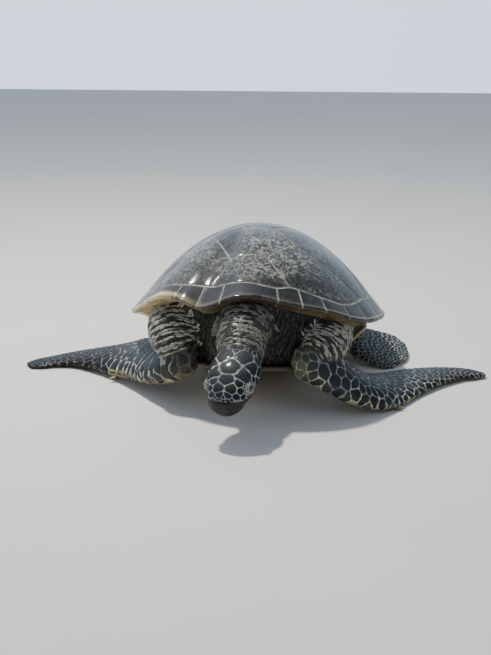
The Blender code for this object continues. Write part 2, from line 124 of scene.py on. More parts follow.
def addNode(tree, kind, settings):
    node = tree.nodes.new(kind)
    for key, value in settings.items():
        if isinstance(value, tuple) and isinstance(value[0], (bpy.types.Node, bpy.types.NodeSocket)):
            value = addNode(tree, stepNode, {"interpolation_type": "SMOOTHSTEP", **dict(enumerate(value))})
        if isinstance(value, bpy.types.Node):
            value = next(out for out in value.outputs if out.enabled)
        if isinstance(value, bpy.types.NodeSocket):
            tree.links.new(value, node.inputs[key])
        elif isinstance(key, str) and hasattr(node, key):
            setattr(node, key, value)
        else:
            plain = not (isinstance(value, str) and value.startswith("#"))
            node.inputs[key].default_value = value if plain else linear(value)
    return node


noiseNode, mathNode, attributeNode = "ShaderNodeTexNoise", "ShaderNodeMath", "ShaderNodeAttribute"
stepNode, blendNode, bumpNode = "ShaderNodeMapRange", "ShaderNodeMix", "ShaderNodeBump"
colours = {"data_type": "RGBA"}  # for blendNode: 0 share, 6 and 7 the two colours
times, timesPlus, larger = {"operation": "MULTIPLY"}, {"operation": "MULTIPLY_ADD"}, {"operation": "MAXIMUM"}
finish = {}


def startMaterial(name, noises, marks=()):
    # its tree, the object's own coordinates, then the noises and the attributes that it reads
    made = bpy.data.materials.new(name)
    made.use_nodes = True
    finish[name] = made
    tree = made.node_tree
    tree.nodes.clear()
    place = addNode(tree, "ShaderNodeTexCoord", {}).outputs["Object"]
    inputs = ("Scale", "Detail", "Roughness", "Distortion")
    read = [addNode(tree, noiseNode, {"Vector": place, **dict(zip(inputs, values))}) for values in noises]
    read += [addNode(tree, attributeNode, {"attribute_name": mark}).outputs["Fac"] for mark in marks]
    return [tree, place, *read]


def layColours(tree, colour, layers):
    for shade, share in layers:
        colour = addNode(tree, blendNode, {**colours, 0: share, 6: colour, 7: shade})
    return colour


def endMaterial(tree, colour, settings, bump=None):
    # bump: the height it follows, its strength and its depth
    if bump:
        inputs = dict(zip(("Height", "Strength", "Distance"), bump))
        settings = {**settings, "Normal": addNode(tree, bumpNode, inputs)}
    shader = addNode(tree, "ShaderNodeBsdfPrincipled", {"Base Color": colour, **settings})
    addNode(tree, "ShaderNodeOutputMaterial", {"Surface": shader})


def carapaceHorn():
    # Keratin scutes, wet and polished by sand: near-black olive with paler rays, and flecks of pale algae.
    tree, _, fleck, speck, cloud, stain, edge, tone, under, rimBand, clean = startMaterial(
        "carapaceHorn", ((78, 6, 0.70, 1.1), (210, 3, 0.6), (7.5, 3, 0.5, 0.5), (26, 4, 0.5, 1.2)),
        ("edgeDistance", "plateTone", "under", "rimBand", "clean"))
    # rays run out from each scute's growth centre, about 6 mm apart at its edge
    streak = addNode(tree, attributeNode, {"attribute_name": "streak"}).outputs["Vector"]
    rays = addNode(tree, noiseNode, {"Vector": streak, "Scale": 9, "Detail": 5, "Roughness": 0.66, "Distortion": 0.7})
    lichen = addNode(tree, mathNode, {**times, 0: (fleck, 0.46, 0.60, 0, 0.8), 1: (cloud, 0.34, 0.58)})
    lichen = addNode(tree, mathNode, {**times, 0: lichen, 1: (rays, 0.3, 0.6, 0.4)})
    lichen = addNode(tree, mathNode, {**larger, 0: lichen, 1: (speck, 0.60, 0.66, 0, 0.5)})
    # the front marginals are darkened toward near-black as painted shade and kept bare of flecks; the left flank has
    # fewer flecks and a darker base
    fleckRoom = addNode(tree, stepNode, {0: clean, 3: 1, 4: 0})
    lichen = addNode(tree, mathNode, {**times, 0: lichen, 1: fleckRoom})
    algae = addNode(tree, blendNode, {**colours, 0: stain, 6: "#b1aea0", 7: "#6f7069"})
    tan = addNode(tree, blendNode, {**colours, 0: (stain, 0.4, 0.62), 6: "#8f7a50", 7: "#54452b"})
    # pale gold on the edge and underside of the rim over the right shoulder: its own colour, brightened further as
    # painted bounce light
    goldAndBounce = addNode(tree, mathNode, {**times, 0: rimBand, 1: (stain, 0.30, 0.52)})
    colour = layColours(tree, "#090b0d", (
        ("#282a28", (rays, 0.42, 0.62)), ("#1d1d16", (tone, 0, 1, 0, 0.5)), ("#10181a", (stain, 0.5, 0.62, 0, 0.6)),
        ("#08090b", addNode(tree, stepNode, {0: clean, 4: 0.95})), (algae, lichen),
        ("#8b8a78", (edge, 0.0004, 0.0030, 0.4, 0)), (tan, under), ("#cdbb8c", goldAndBounce)))
    matt = addNode(tree, mathNode, {**larger, 0: lichen, 1: under})
    # growth rings follow the edge, about 4 mm apart
    rings = addNode(tree, mathNode, {"operation": "SINE", 0: addNode(tree, mathNode, {**times, 0: edge, 1: 1500})})
    height = addNode(tree, mathNode, {**timesPlus, 0: rings, 1: 0.2, 2: rays})
    height = addNode(tree, mathNode, {**timesPlus, 0: lichen, 1: 0.6, 2: height})
    endMaterial(tree, colour, {"IOR": 1.54, "Coat Weight": 0.5, "Coat Roughness": 0.09, "Specular IOR Level": 0.10,
                               "Roughness": addNode(tree, stepNode, {0: matt, 3: 0.58, 4: 0.8})}, (height, 0.4, 0.001))


def seamHorn():
    # Young keratin in the seams between the scutes: pale grey-cream, stained here and there, matt.
    tree, _, cloud, dirt, grit = startMaterial("seamHorn", ((60, 4), (22, 4, 0.5, 0.8), (600,)))
    colour = layColours(tree, "#a4a291", (("#6d6c5f", (cloud, 0.38, 0.66)), ("#4a4734", (dirt, 0.45, 0.62, 0, 0.85))))
    endMaterial(tree, colour, {"Roughness": 0.6, "IOR": 1.54}, (grit, 0.3, 0.0004))


def plastronHorn():
    # Belly scutes: thin cream-yellow keratin, scuffed by sand, satin.
    tree, place, cloud, scuff, edge = startMaterial(
        "plastronHorn", ((9, 4, 0.5, 0.5), (120, 5, 0.7, 1.5)), ("edgeDistance",))
    # the front lip is darkened to grey-brown: painted shade beneath the chest
    front = addNode(tree, "ShaderNodeSeparateXYZ", {0: place}).outputs[1]
    front = addNode(tree, mathNode, {**timesPlus, 0: cloud, 1: 0.03, 2: front})
    colour = layColours(tree, "#d3c08c", (
        ("#b3955a", (cloud, 0.35, 0.65)), ("#7d6740", (scuff, 0.54, 0.66, 0, 0.45)),
        ("#75613c", (edge, 0.0015, 0.007, 0.5, 0)), ("#29241d", (front, -0.548, -0.515, 0.92, 0))))
    endMaterial(tree, colour, {"Roughness": 0.42, "IOR": 1.54, "Coat Weight": 0.15, "Coat Roughness": 0.3},
                (scuff, 0.3, 0.0006))


palettes = {
    # pairs of shades: above, where scales are blue-black and skin grey, in the folds, at the elbows and beneath
    "scale": (("#0a0d12", "#1b2229"), ("#191715", "#312e29"), ("#75755a", "#484a3c"), ("#a3946a", "#7c6e4a")),
    "skin": (("#a5a69b", "#70736c"), ("#37332c", "#1e1b17"), ("#bab89c", "#8f8f76"), ("#bdb08a", "#988a62")),
}
mottle = (16, 4, 0.5, 0.5)  # the noise that turns one shade of each pair into the other


def markSkin(tree, cloud, pairs):
    # The markings that skin and scales share.
    shades = [addNode(tree, blendNode, {**colours, 0: (cloud, 0.38, 0.62), 6: a, 7: b}) for a, b in pairs]
    marks = [addNode(tree, attributeNode, {"attribute_name": name}).outputs["Fac"]
             for name in ("brown", "olive", "under")]
    return layColours(tree, shades[0], zip(shades[1:], marks))


def scaleKeratin():
    # Thin scales of keratin over living skin, wet from the sea: blue-black with a soft gloss.
    tree, _, cloud, grain, pores, tone, middle, crest, sooty = startMaterial(
        "scaleKeratin", (mottle, (160, 4, 0.65, 0.4), (620, 3)), ("tone", "middle", "crest", "sooty"))
    # a pale painted highlight follows the crests of the folds; the near-black last layer is painted shade over the
    # chest, nostrils and mouth corners, and also darkens the front flipper tips
    colour = layColours(tree, markSkin(tree, cloud, palettes["scale"]), (
        ("#35342f", (tone, 0.3, 1, 0, 0.35)), ("#b0ac9b", (crest, 0.5, 1, 0, 0.85)),
        ("#6c6d66", (middle, 0, 0.5, 0.35, 0)), ("#50514b", (grain, 0.52, 0.68, 0, 0.3)), ("#0a0908", sooty)))
    height = addNode(tree, mathNode, {"operation": "ADD", 0: grain, 1: pores})
    endMaterial(tree, colour, {"IOR": 1.5, "Coat Weight": 0.18, "Coat Roughness": 0.13, "Specular IOR Level": 0.1,
                               "Roughness": (grain, 0.3, 0.7, 0.5, 0.7)}, (height, 0.35, 0.0006))


def livingSkin():
    # Living skin between the scales: pale grey where it lies flat, damp; painted shade darkens its folds and a painted
    # highlight lightens their crests.
    tree, _, cloud, speckle, ridge, folded, sooty = startMaterial(
        "livingSkin", (mottle, (260, 3, 0.5, 0.5)), ("ridge", "folded", "sooty"))
    high = addNode(tree, mathNode, {**timesPlus, 0: speckle, 1: 0.5, 2: ridge})
    crest = addNode(tree, mathNode, {**times, 0: folded, 1: (high, 1.02, 1.3, 0, 0.75)})
    crease = addNode(tree, mathNode, {**times, 0: folded, 1: (high, 0.5, 1, 1, 0)})
    # painted highlight on the fold crests, painted shade in the creases, then the near-black painted shade of the
    # nostrils, mouth corners and chest, which also darkens the front flipper tips
    colour = layColours(tree, markSkin(tree, cloud, palettes["skin"]),
                        (("#a29d8b", crest), ("#15100a", crease), ("#0a0908", sooty)))
    endMaterial(tree, colour, {"Roughness": 0.45, "IOR": 1.4, "Coat Weight": 0.2, "Coat Roughness": 0.25},
                (speckle, 0.5, 0.0012))


def beakHorn():
    # Thick horn of the jaws: dark grey-brown, finely striated down to the biting edge, tan where it wears.
    tree, place, cloud, worn = startMaterial("beakHorn", ((60, 3),), ("worn",))
    stretched = addNode(tree, "ShaderNodeMapping", {"Scale": (1.0, 1.0, 0.12), "Vector": place})
    striae = addNode(tree, noiseNode, {"Vector": stretched, "Scale": 420, "Detail": 4, "Roughness": 0.65})
    edge = addNode(tree, mathNode, {**timesPlus, 0: striae, 1: 0.4, 2: worn})
    colour = layColours(tree, "#100f0d", (("#24211c", (cloud, 0.35, 0.65)), ("#100d0a", (striae, 0.5, 0.7, 0, 0.6)),
                                          ("#86704a", (edge, 0.6, 1.15, 0, 0.7))))
    endMaterial(tree, colour, {"Roughness": 0.5, "IOR": 1.54, "Coat Weight": 0.15, "Coat Roughness": 0.2,
                               "Specular IOR Level": 0.2}, (striae, 0.4, 0.0006))


def clawHorn():
    # Claw horn: brown at the root, paler at the worn tip, satin.
    tree, _, grain, worn = startMaterial("clawHorn", ((500,),), ("worn",))
    colour = layColours(tree, "#2f261b", (("#94805a", worn),))
    endMaterial(tree, colour, {"Roughness": 0.38, "IOR": 1.54}, (grain, 0.3, 0.0004))


def wetEye():
    # Eyeball under a film of tears: near black, with a thin brown ring round the pupil.
    tree, _, out = startMaterial("wetEye", (), ("fromPupil",))
    colour = layColours(tree, "#020202", (("#21160b", (out, 0.24, 0.28)), ("#0d0b09", (out, 0.40, 0.48))))
    endMaterial(tree, colour, {"Roughness": 0.06, "IOR": 1.38, "Coat Weight": 1.0, "Coat Roughness": 0.02})


def paleFloor():
    # Smooth studio floor, warm off-white paint, matt.
    tree, _, cloud = startMaterial("paleFloor", ((1.5, 3),))
    endMaterial(tree, layColours(tree, "#c6c3bc", (("#d1cec8", cloud),)), {"Roughness": 0.85})


print("materials")
for makeMaterial in (carapaceHorn, seamHorn, plastronHorn, scaleKeratin, livingSkin, beakHorn, clawHorn, wetEye,
                     paleFloor):
    makeMaterial()

# The shell stands in a frame of its own, pitched nose up about the origin.

shell = {
    "length": 0.92, "width": 0.72, "depth": 0.385, "noseUp": math.radians(11.3),
    "nape": -0.67, "apex": -0.235, "domePower": 2.08,
    "rimHeight": 0.128, "frontRise": 0.055, "napeArch": 0.018, "tailDrop": 0.020,
    "rightCurl": 0.033, "rightDip": 0.020, "leftDroop": 0.014,  # the rim isn't quite the same on both sides
    "rimRadius": 0.0055, "lipDrop": 0.006, "rimThickness": 0.010, "wall": 0.012,
    "lipReach": 0.875, "bridgeReach": 0.828, "axilla": (57, 79), "groin": (94, 116),
    "seamDepth": 0.0004, "edgeReach": 0.988,  # where the dome gives way to the rounded rim
    "flare": 0.004, "lipSwell": 0.004,  # how far the rim turns up, and the underside bulges
    "insideReaches": (0.80, 0.68, 0.48, 0.22),
}


def rimPlan(angle):
    side = np.sin(angle)
    blunt = 0.86 + 0.14 * (1 - np.cos(angle)) / 2
    reach = np.sign(side) * np.abs(side) ** blunt
    x = shell["width"] / 2 * reach * (1 + 0.10 * np.cos(angle)) / 1.005
    return x, shell["nape"] + shell["length"] / 2 * (1 - np.cos(angle))


def wrapped(angle):
    # the same direction, between half a turn to the right and half a turn to the left
    return (angle + np.pi) % (2 * np.pi) - np.pi


def rimHeight(angle):
    signed = wrapped(angle)
    turn = np.abs(signed)
    front = (1 + np.cos(np.minimum(turn * 2.4, np.pi))) / 2
    nape = shell["napeArch"] * hump(turn, 0, 0.16)
    curl = shell["rightCurl"] * hump(turn, 0.63, 0.30) - shell["rightDip"] * hump(turn, 0.27, 0.13)
    droop = shell["leftDroop"] * hump(turn, 0.80, 0.30)
    rise = shell["frontRise"] * front + nape + np.where(signed < 0, curl, -droop)
    return shell["rimHeight"] + rise - shell["tailDrop"] * smoothStep(np.pi / 2, np.pi, turn)


def bridgeShare(angle):
    turn = np.degrees(np.abs(wrapped(angle)))
    return smoothStep(*shell["axilla"], turn) * (1 - smoothStep(*shell["groin"], turn))


def atReach(reach, angle, height):
    x, y = rimPlan(angle)
    return np.stack([x * reach, shell["apex"] + (y - shell["apex"]) * reach, height + 0 * x * reach], -1)


def lipHeight(angle):
    return rimHeight(angle) - shell["rimThickness"] - shell["lipDrop"] * (1 + bridgeShare(angle))


def lipReach(angle):
    return shell["lipReach"] + (shell["bridgeReach"] - shell["lipReach"]) * bridgeShare(angle)


def domeHeight(reach, angle):
    low = rimHeight(angle)
    flare = shell["flare"] * smoothStep(0.90, 1.0, reach)
    return low + (shell["depth"] - low) * (1 - reach ** shell["domePower"]) + flare


def shellSkin(along, angle):
    # along 0 to 1 runs from the apex to the rim, 1 to 1.15 round its edge, and on to 2 at the lip beneath
    along, angle = np.broadcast_arrays(np.asarray(along, float), np.asarray(angle, float))
    edge = shell["edgeReach"]
    reach = np.minimum(along, 1.0) * edge
    z = domeHeight(reach, angle)
    x, y = rimPlan(angle)
    span = np.hypot(x, y - shell["apex"])
    turned = np.clip((along - 1.0) / 0.15, 0.0, 1.0) * np.pi
    radius = shell["rimRadius"]
    reach = reach + radius * np.sin(turned) / span
    z = z - radius * (1 - np.cos(turned))
    beneath = np.clip((along - 1.15) / 0.85, 0.0, 1.0)
    reach = reach + (lipReach(angle) - edge) * beneath
    drop = lipHeight(angle) - (domeHeight(edge, angle) - 2 * radius)
    z = z + drop * beneath + shell["lipSwell"] * np.sin(np.pi * beneath)
    return atReach(reach, angle, z)


def normalOf(surface, u, v, step=1e-3):
    across = surface(u + step, v) - surface(u - step, v)
    around = surface(u, v + step) - surface(u, v - step)
    normal = np.cross(across, around)
    return normal / np.maximum(np.linalg.norm(normal, axis=-1, keepdims=True), 1e-12)


rimTurns = np.linspace(0, np.pi, 3000)
rimX, rimY = rimPlan(rimTurns)
rimBearing = np.arctan2(rimX, shell["apex"] - rimY)
rimSpan = np.hypot(rimX, rimY - shell["apex"])


def planToShell(x, y):
    # (reach, angle) of a plan point
    bearing = np.arctan2(np.abs(x), shell["apex"] - y)
    angle = np.interp(bearing, rimBearing, rimTurns)
    reach = np.hypot(x, y - shell["apex"]) / np.interp(bearing, rimBearing, rimSpan)
    return reach, np.where(x < 0, -angle, angle)


def domeOverPlan(x, y):
    reach, angle = planToShell(x, y)
    return np.stack([x, y, domeHeight(reach, angle)], -1)


def toWorld(points):
    c, s = math.cos(shell["noseUp"]), math.sin(shell["noseUp"])
    x, y, z = np.moveaxis(np.asarray(points), -1, 0)
    return np.stack([x, y * c + z * s, z * c - y * s], -1)


def gridFaces(rows, columns, closed=True):
    faces = []
    for i in range(rows - 1):
        for k in range(columns if closed else columns - 1):
            j = (k + 1) % columns
            faces.append((i * columns + k, i * columns + j, (i + 1) * columns + j, (i + 1) * columns + k))
    return faces


def closedRings(rings, start, end):
    # rings of equal size joined side by side, with a pole at each end, faces outward for counter-clockwise rings
    rows, columns = len(rings), len(rings[0])
    points = [*np.concatenate(rings), start, end]
    faces = gridFaces(rows, columns)
    for pole, row, flip in ((rows * columns, 0, True), (rows * columns + 1, rows - 1, False)):
        for k in range(columns):
            a, b = row * columns + k, row * columns + (k + 1) % columns
            faces.append((pole, b, a) if flip else (pole, a, b))
    return np.array(points), faces


def closeSheet(top, bottom, faces):
    # a closed plate from one triangulated sheet and its copy below
    count = len(top)
    used = dict.fromkeys((a, b) for face in faces for a, b in zip(face, face[1:] + face[:1]))
    made = list(faces) + [tuple(count + i for i in reversed(face)) for face in faces]
    made += [(b, a, count + a, count + b) for a, b in used if (b, a) not in used]
    return np.concatenate([top, bottom]), made


def joinMeshes(meshes):
    points, faces, start = [], [], 0
    for spots, polygons in meshes:
        points.append(spots)
        faces += [tuple(start + i for i in polygon) for polygon in polygons]
        start += len(spots)
    return np.concatenate(points), faces


def makeShellBase():
    # the bony dome under the scutes, which shows only in their seams
    sides = 240
    angles = roundTurns(sides)
    rings = []
    for along in (*np.linspace(0.03, 1.0, 56), *np.linspace(1.02, 1.15, 7), *np.linspace(1.22, 2.0, 9)):
        spots = shellSkin(along, angles)
        rings.append(spots - normalOf(shellSkin, np.full(sides, along), angles) * shell["seamDepth"])
    for reach in shell["insideReaches"]:
        spots = atReach(reach, angles, domeHeight(reach, angles))
        rings.append(spots - normalOf(shellSkin, np.full(sides, reach), angles) * shell["wall"])
    top = np.array([0, shell["apex"], shell["depth"] - shell["seamDepth"]])
    points, faces = closedRings(rings, top, top - [0, 0, shell["wall"]])
    return newPiece("shell_seams", toWorld(points), faces, finish["seamHorn"])


scutes = {
    "gap": 0.0021, "step": 0.0035, "grid": 0.0075, "rise": 0.0009, "bevel": 0.0035, "crown": 0.0010, "sunk": 0.0024,
    "wander": 0.0016,
    # the inner edge of the marginals: degrees from the nape, right side negative, and reach
    "bandTurns": (-180, -60, -38, -28, -22, -17, -11, -4, 0, 4, 9, 14, 19, 27, 38, 60, 180),
    "bandReach": (0.878, 0.880, 0.918, 0.914, 0.884, 0.864, 0.872, 0.889, 0.898, 0.912, 0.908, 0.880, 0.893, 0.916,
                  0.925, 0.880, 0.878),
    "marginalTurns": (8.5, 17.5, 27.5, 40, 53, 67, 81, 96, 111, 127, 144, 162, 180),
    "costalTurns": (14, 58, 92, 126, 161),
    # half width and place along the shell of the vertebral corners
    "corners": ((0.105, 0.155), (0.30, 0.262), (0.115, 0.368), (0.31, 0.472), (0.115, 0.575), (0.27, 0.68),
                (0.09, 0.775)),
    "rightCorner": (0.165, 0.157),  # the first of them on the right side
}


def bandReach(degrees):
    # smoothed a little between the given turns
    blur = [np.interp(degrees + shift, scutes["bandTurns"], scutes["bandReach"]) for shift in (-1.5, 0, 1.5)]
    return sum(blur) / 3


def bandPoint(degrees, side):
    turn = abs(degrees)
    reach = bandReach(side * turn)
    x, y = rimPlan(math.radians(turn))
    return np.array([side * x * reach, shell["apex"] + (y - shell["apex"]) * reach])


def planPoint(share, along, side):
    return np.array([side * share * shell["width"] / 2, shell["nape"] + along * shell["length"]])


def seamBetween(start, end, bow):
    # points from start to end, bowed to one side and wandering a little as a living seam does
    span = np.linalg.norm(end - start)
    count = max(int(span / scutes["step"]), 2)
    share = np.linspace(0, 1, count + 1)[:, None]
    aside = np.array([start[1] - end[1], end[0] - start[0]]) / span
    bulge = np.sin(np.pi * share)
    waver = np.array([[noise.noise(Vector((*(start + (end - start) * t) * 28, bow + 3)))] for t in share[:, 0]])
    waver = waver * scutes["wander"] * np.minimum(bulge * 3, 1)
    return start + (end - start) * share + aside * (bow * span * bulge + waver)


def bandSeam(first, last, side):
    count = max(int(abs(last - first) / 0.55), 2)
    return np.array([bandPoint(first + (last - first) * k / count, side) for k in range(count + 1)])


def insetLoop(loop, by):
    before, after = np.roll(loop, 1, 0), np.roll(loop, -1, 0)
    along = after - before
    along /= np.maximum(np.linalg.norm(along, axis=1, keepdims=True), 1e-9)
    return loop + np.stack([-along[:, 1], along[:, 0]], 1) * by


def distanceTo(loop, points):
    a, b = loop, np.roll(loop, -1, 0)
    edge = b - a
    share = ((points[:, None] - a) * edge).sum(-1) / np.maximum((edge**2).sum(-1), 1e-12)
    near = a + edge * np.clip(share, 0, 1)[..., None]
    return np.sqrt(((points[:, None] - near) ** 2).sum(-1).min(1))


def plateHeight(depth, spec, reach):
    # a bevel round the edge, and a slight crown
    rounded = np.sqrt(1 - (1 - np.clip(depth / spec["bevel"], 0, 1)) ** 2)
    return spec["rise"] * rounded + spec["crown"] * smoothStep(0, reach, depth)


def plateMarks(depth, tone, away, **marks):
    # its attributes, twice: for the upper sheet and the lower one. Streaks run away from where the plate grew first.
    floats = {"edgeDistance": depth, "plateTone": np.full(depth.shape, tone)}
    floats.update({key: marks.get(key, np.zeros(depth.shape)) for key in ("under", "rimBand", "clean")})
    length = np.maximum(np.linalg.norm(away, axis=1), 1e-6)
    streak = np.column_stack([away / length[:, None] * 1.1 + tone * 37.0, length * 5.0])
    return {key: np.tile(values.ravel(), 2) for key, values in floats.items()}, np.tile(streak, (2, 1))


def plateFromLoop(loop, surface, centre, tone, spec, flip=False):
    # one scute: its loop in plan, inset by half a seam, triangulated, raised and closed
    if twiceArea(loop) < 0:
        loop = loop[::-1]
    for _ in range(3):
        loop = 0.5 * loop + 0.25 * (np.roll(loop, 1, 0) + np.roll(loop, -1, 0))
    loop = insetLoop(loop, spec["gap"] / 2)
    rows = [loop, insetLoop(loop, spec["bevel"] * 0.3), insetLoop(loop, spec["bevel"])]
    low, high = loop.min(0), loop.max(0)
    step = spec["grid"]
    inner = np.array([(x, y) for row, y in enumerate(np.arange(low[1], high[1], step * 0.866))
                      for x in np.arange(low[0] + step / 2 * (row % 2), high[0], step)])
    inner = inner[insideLoop(loop, inner)]
    inner = inner[distanceTo(loop, inner) > spec["bevel"] + step * 0.45]
    count = len(loop)
    edges = [(r * count + k, r * count + (k + 1) % count) for r in range(3) for k in range(count)]
    flat = [Vector(p) for p in np.concatenate([*rows, inner])]
    found = geometry.delaunay_2d_cdt(flat, edges, [list(range(count))], 1, 1e-6)
    flat = np.array([tuple(v) for v in found[0]])
    faces = [tuple(f) for f in found[2]]
    depth = distanceTo(loop, flat)
    spots = surface(flat[:, 0], flat[:, 1])
    normals = normalOf(surface, flat[:, 0], flat[:, 1])
    if flip:
        normals = -normals
        faces = [face[::-1] for face in faces]
    top = spots + normals * plateHeight(depth, spec, 0.05)[:, None]
    return *closeSheet(top, spots - normals * spec["sunk"], faces), *plateMarks(depth, tone, flat - centre)


def insideLoop(loop, points):
    inside = np.zeros(len(points), bool)
    for a, b in zip(loop, np.roll(loop, -1, 0)):
        crosses = (a[1] > points[:, 1]) != (b[1] > points[:, 1])
        with np.errstate(divide="ignore", invalid="ignore"):
            at = (b[0] - a[0]) * (points[:, 1] - a[1]) / (b[1] - a[1]) + a[0]
        inside ^= crosses & (points[:, 0] < at)
    return inside


def joinPlates(name, plates, material):
    points, faces = joinMeshes([plate[:2] for plate in plates])
    floats = {key: np.concatenate([plate[2][key] for plate in plates]) for key in plates[0][2]}
    # the left flank has fewer flecks of algae and a darker base
    floats["clean"] = np.maximum(floats["clean"], 0.62 * smoothStep(0.08, 0.27, points[:, 0]))
    streaks = np.concatenate([plate[3] for plate in plates])
    return newPiece(name, toWorld(points), faces, material, floats, {"streak": streaks})


def makeScutes():
    rolls = random.Random(7)
    corner = {side: [planPoint(a, b, side) for a, b in scutes["corners"]] for side in (-1, 1)}
    corner[-1][0] = planPoint(*scutes["rightCorner"], -1)
    turns = scutes["costalTurns"]
    join = lambda *lines: np.concatenate([line[:-1] for line in lines])
    edge = {("cross", k): seamBetween(corner[-1][k], corner[1][k], 0.05) for k in (0, 2, 4, 6)}
    for side in (-1, 1):
        c = corner[side]
        edge[side, "first"] = seamBetween(bandPoint(turns[0], side), c[0], 0.03 * side)
        for k in range(6):
            edge[side, k] = seamBetween(c[k], c[k + 1], 0.02 * side)
        for k, turn in ((1, turns[1]), (3, turns[2]), (5, turns[3])):
            edge[side, "costal", k] = seamBetween(c[k], bandPoint(turn, side), -0.05 * side)
        edge[side, "last"] = seamBetween(c[6], bandPoint(turns[4], side), 0.02 * side)
    frontBand = np.concatenate([bandSeam(turns[0], 0, -1)[:-1], bandSeam(0, turns[0], 1)])
    rearBand = np.concatenate([bandSeam(turns[4], 180, 1)[:-1], bandSeam(180, turns[4], -1)])
    vertebrals = [join(frontBand, edge[1, "first"], edge["cross", 0][::-1], edge[-1, "first"][::-1])]
    for k in (0, 2, 4):
        vertebrals.append(join(edge["cross", k], edge[1, k], edge[1, k + 1], edge["cross", k + 2][::-1],
                               edge[-1, k + 1][::-1], edge[-1, k][::-1]))
    vertebrals.append(join(edge["cross", 6], edge[1, "last"], rearBand, edge[-1, "last"][::-1]))
    costals = []
    for side in (-1, 1):
        band = [bandSeam(turns[k + 1], turns[k], side) for k in range(4)]
        costals.append(join(band[0], edge[side, "first"], edge[side, 0], edge[side, "costal", 1]))
        for k in (1, 3):
            costals.append(join(edge[side, "costal", k][::-1], edge[side, k], edge[side, k + 1],
                                edge[side, "costal", k + 2], band[(k + 1) // 2]))
        costals.append(join(edge[side, "costal", 5][::-1], edge[side, 5], edge[side, "last"], band[3]))
    plates = []
    for number, loop in enumerate(vertebrals + costals):
        middle, low, high = loop.mean(0), loop.min(0), loop.max(0)
        # a vertebral grows from near its rear edge, a costal from its upper rear corner
        growth = np.array([0.0, high[1] * 0.75 + low[1] * 0.25])
        if number >= len(vertebrals):
            growth = np.array([middle[0] * 0.72, middle[1] + 0.22 * (high[1] - low[1])])
        plates.append(plateFromLoop(loop, domeOverPlan, growth, rolls.random(), scutes))
    return joinPlates("carapace_scutes", plates, finish["carapaceHorn"])


def makeMarginals():
    rolls = random.Random(11)
    turns = scutes["marginalTurns"]
    pairs = list(zip(turns, turns[1:]))
    spans = [(-turns[0], turns[0], 1), *[(-b, -a, -1) for a, b in pairs], *[(a, b, 1) for a, b in pairs]]
    girth, lip = 0.40, 1.975  # metres to a radian round the rim, and where the plates end beneath
    plates = []
    for first, last, side in spans:
        columns = max(int(abs(last - first)), 8) + 4
        margin = np.array([0.0, 0.0011, 0.0032]) / girth
        low, high = math.radians(first) + 0.0022, math.radians(last) - 0.0022
        angle = np.concatenate([low + margin, np.linspace(low + 0.016, high - 0.016, columns), high - margin[::-1]])
        start = bandReach((np.degrees(angle) + 180) % 360 - 180) / shell["edgeReach"] + 0.0035
        share = np.concatenate([[0, 0.012, 0.035], np.linspace(0.08, 0.92, 9), [1.0]])
        above = start[None] + (1.0 - start[None]) * share[:, None]
        beneath = np.concatenate([np.linspace(1.02, 1.15, 7), np.linspace(1.25, 1.9, 9), [1.94, 1.965, lip]])
        along = np.concatenate([above, np.repeat(beneath[:, None], len(angle), 1)])
        turn = np.repeat(angle[None], len(along), 0)
        spots = shellSkin(along, turn)
        normals = normalOf(shellSkin, along, turn)
        sideways = np.minimum(turn - angle[0], angle[-1] - turn) * girth
        inward = np.minimum((along - start[None]) * 0.47, (lip - along) * 0.055)
        depth = np.minimum(sideways, inward)
        top = (spots + normals * plateHeight(depth, scutes, 0.03)[..., None]).reshape(-1, 3)
        bottom = (spots - normals * scutes["sunk"]).reshape(-1, 3)
        growth = 0.5 * (first + last) + 0.3 * side * (last - first)
        away = np.stack([(np.degrees(turn) - growth) * 0.007, (along - 0.97) * 0.45], -1).reshape(-1, 2)
        degrees = (np.degrees(turn) + 180) % 360 - 180
        # the rim's edge and underside are pale gold where it curls over the right shoulder: partly its own colour,
        # partly painted bounce light from the floor
        goldAndBounceSide = hump(degrees, -44, 17)
        plates.append((*closeSheet(top, bottom, gridFaces(*along.shape, closed=False)), *plateMarks(
            depth, rolls.random(), away,
            # beneath the front of the rim the tan underside is held back and stays dark: painted shade
            under=smoothStep(1.11, 1.16, along) * (1 - 0.85 * hump(degrees, 4, 24)),
            rimBand=smoothStep(0.972, 1.0, along) * (0.05 + 0.95 * goldAndBounceSide),
            # the front marginals are darker and bare of flecks: painted shade
            clean=0.9 * smoothStep(78, 52, np.abs(degrees)))))
    return joinPlates("marginal_scutes", plates, finish["carapaceHorn"])


print("shell")
shellBase = makeShellBase()
carapaceScutes = makeScutes()
marginalScutes = makeMarginals()
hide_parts("carapace")
for piece in (shellBase, carapaceScutes, marginalScutes):
    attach(piece, "root")

# Belly scutes. Their surface is known by share of the way out from the middle, and angle.

belly = {
    "thickness": 0.013, "sink": 0.012, "lobeStart": -0.03, "lobeSlope": math.tan(math.radians(13.3)),
    "bridgeReach": 0.868, "front": (0.82, 0.17, 14, 44), "rear": (0.76, 0.18, 20, 46),
    "edge": 0.016, "turnUp": 0.60, "thinning": 0.004, "gap": 0.0004,
    "seams": (-0.575, -0.495, -0.385, -0.235, -0.095, 0.025),  # where the cross seams meet the midline
    "seamDepth": 0.0012,
    "scutes": {"gap": 0.003, "step": 0.005, "grid": 0.009, "rise": 0.0008, "crown": 0.0, "sunk": 0.0016},
}


def plastronReach(angle):
    turn = np.degrees(np.abs(wrapped(angle)))
    lobe = []
    for name, away in (("front", turn), ("rear", 180 - turn)):
        reach, notch, start, end = belly[name]
        lobe.append(reach - notch * smoothStep(start, end, away))
    lobe = np.where(turn < 90, *lobe)
    return lobe + (belly["bridgeReach"] - lobe) * bridgeShare(angle)


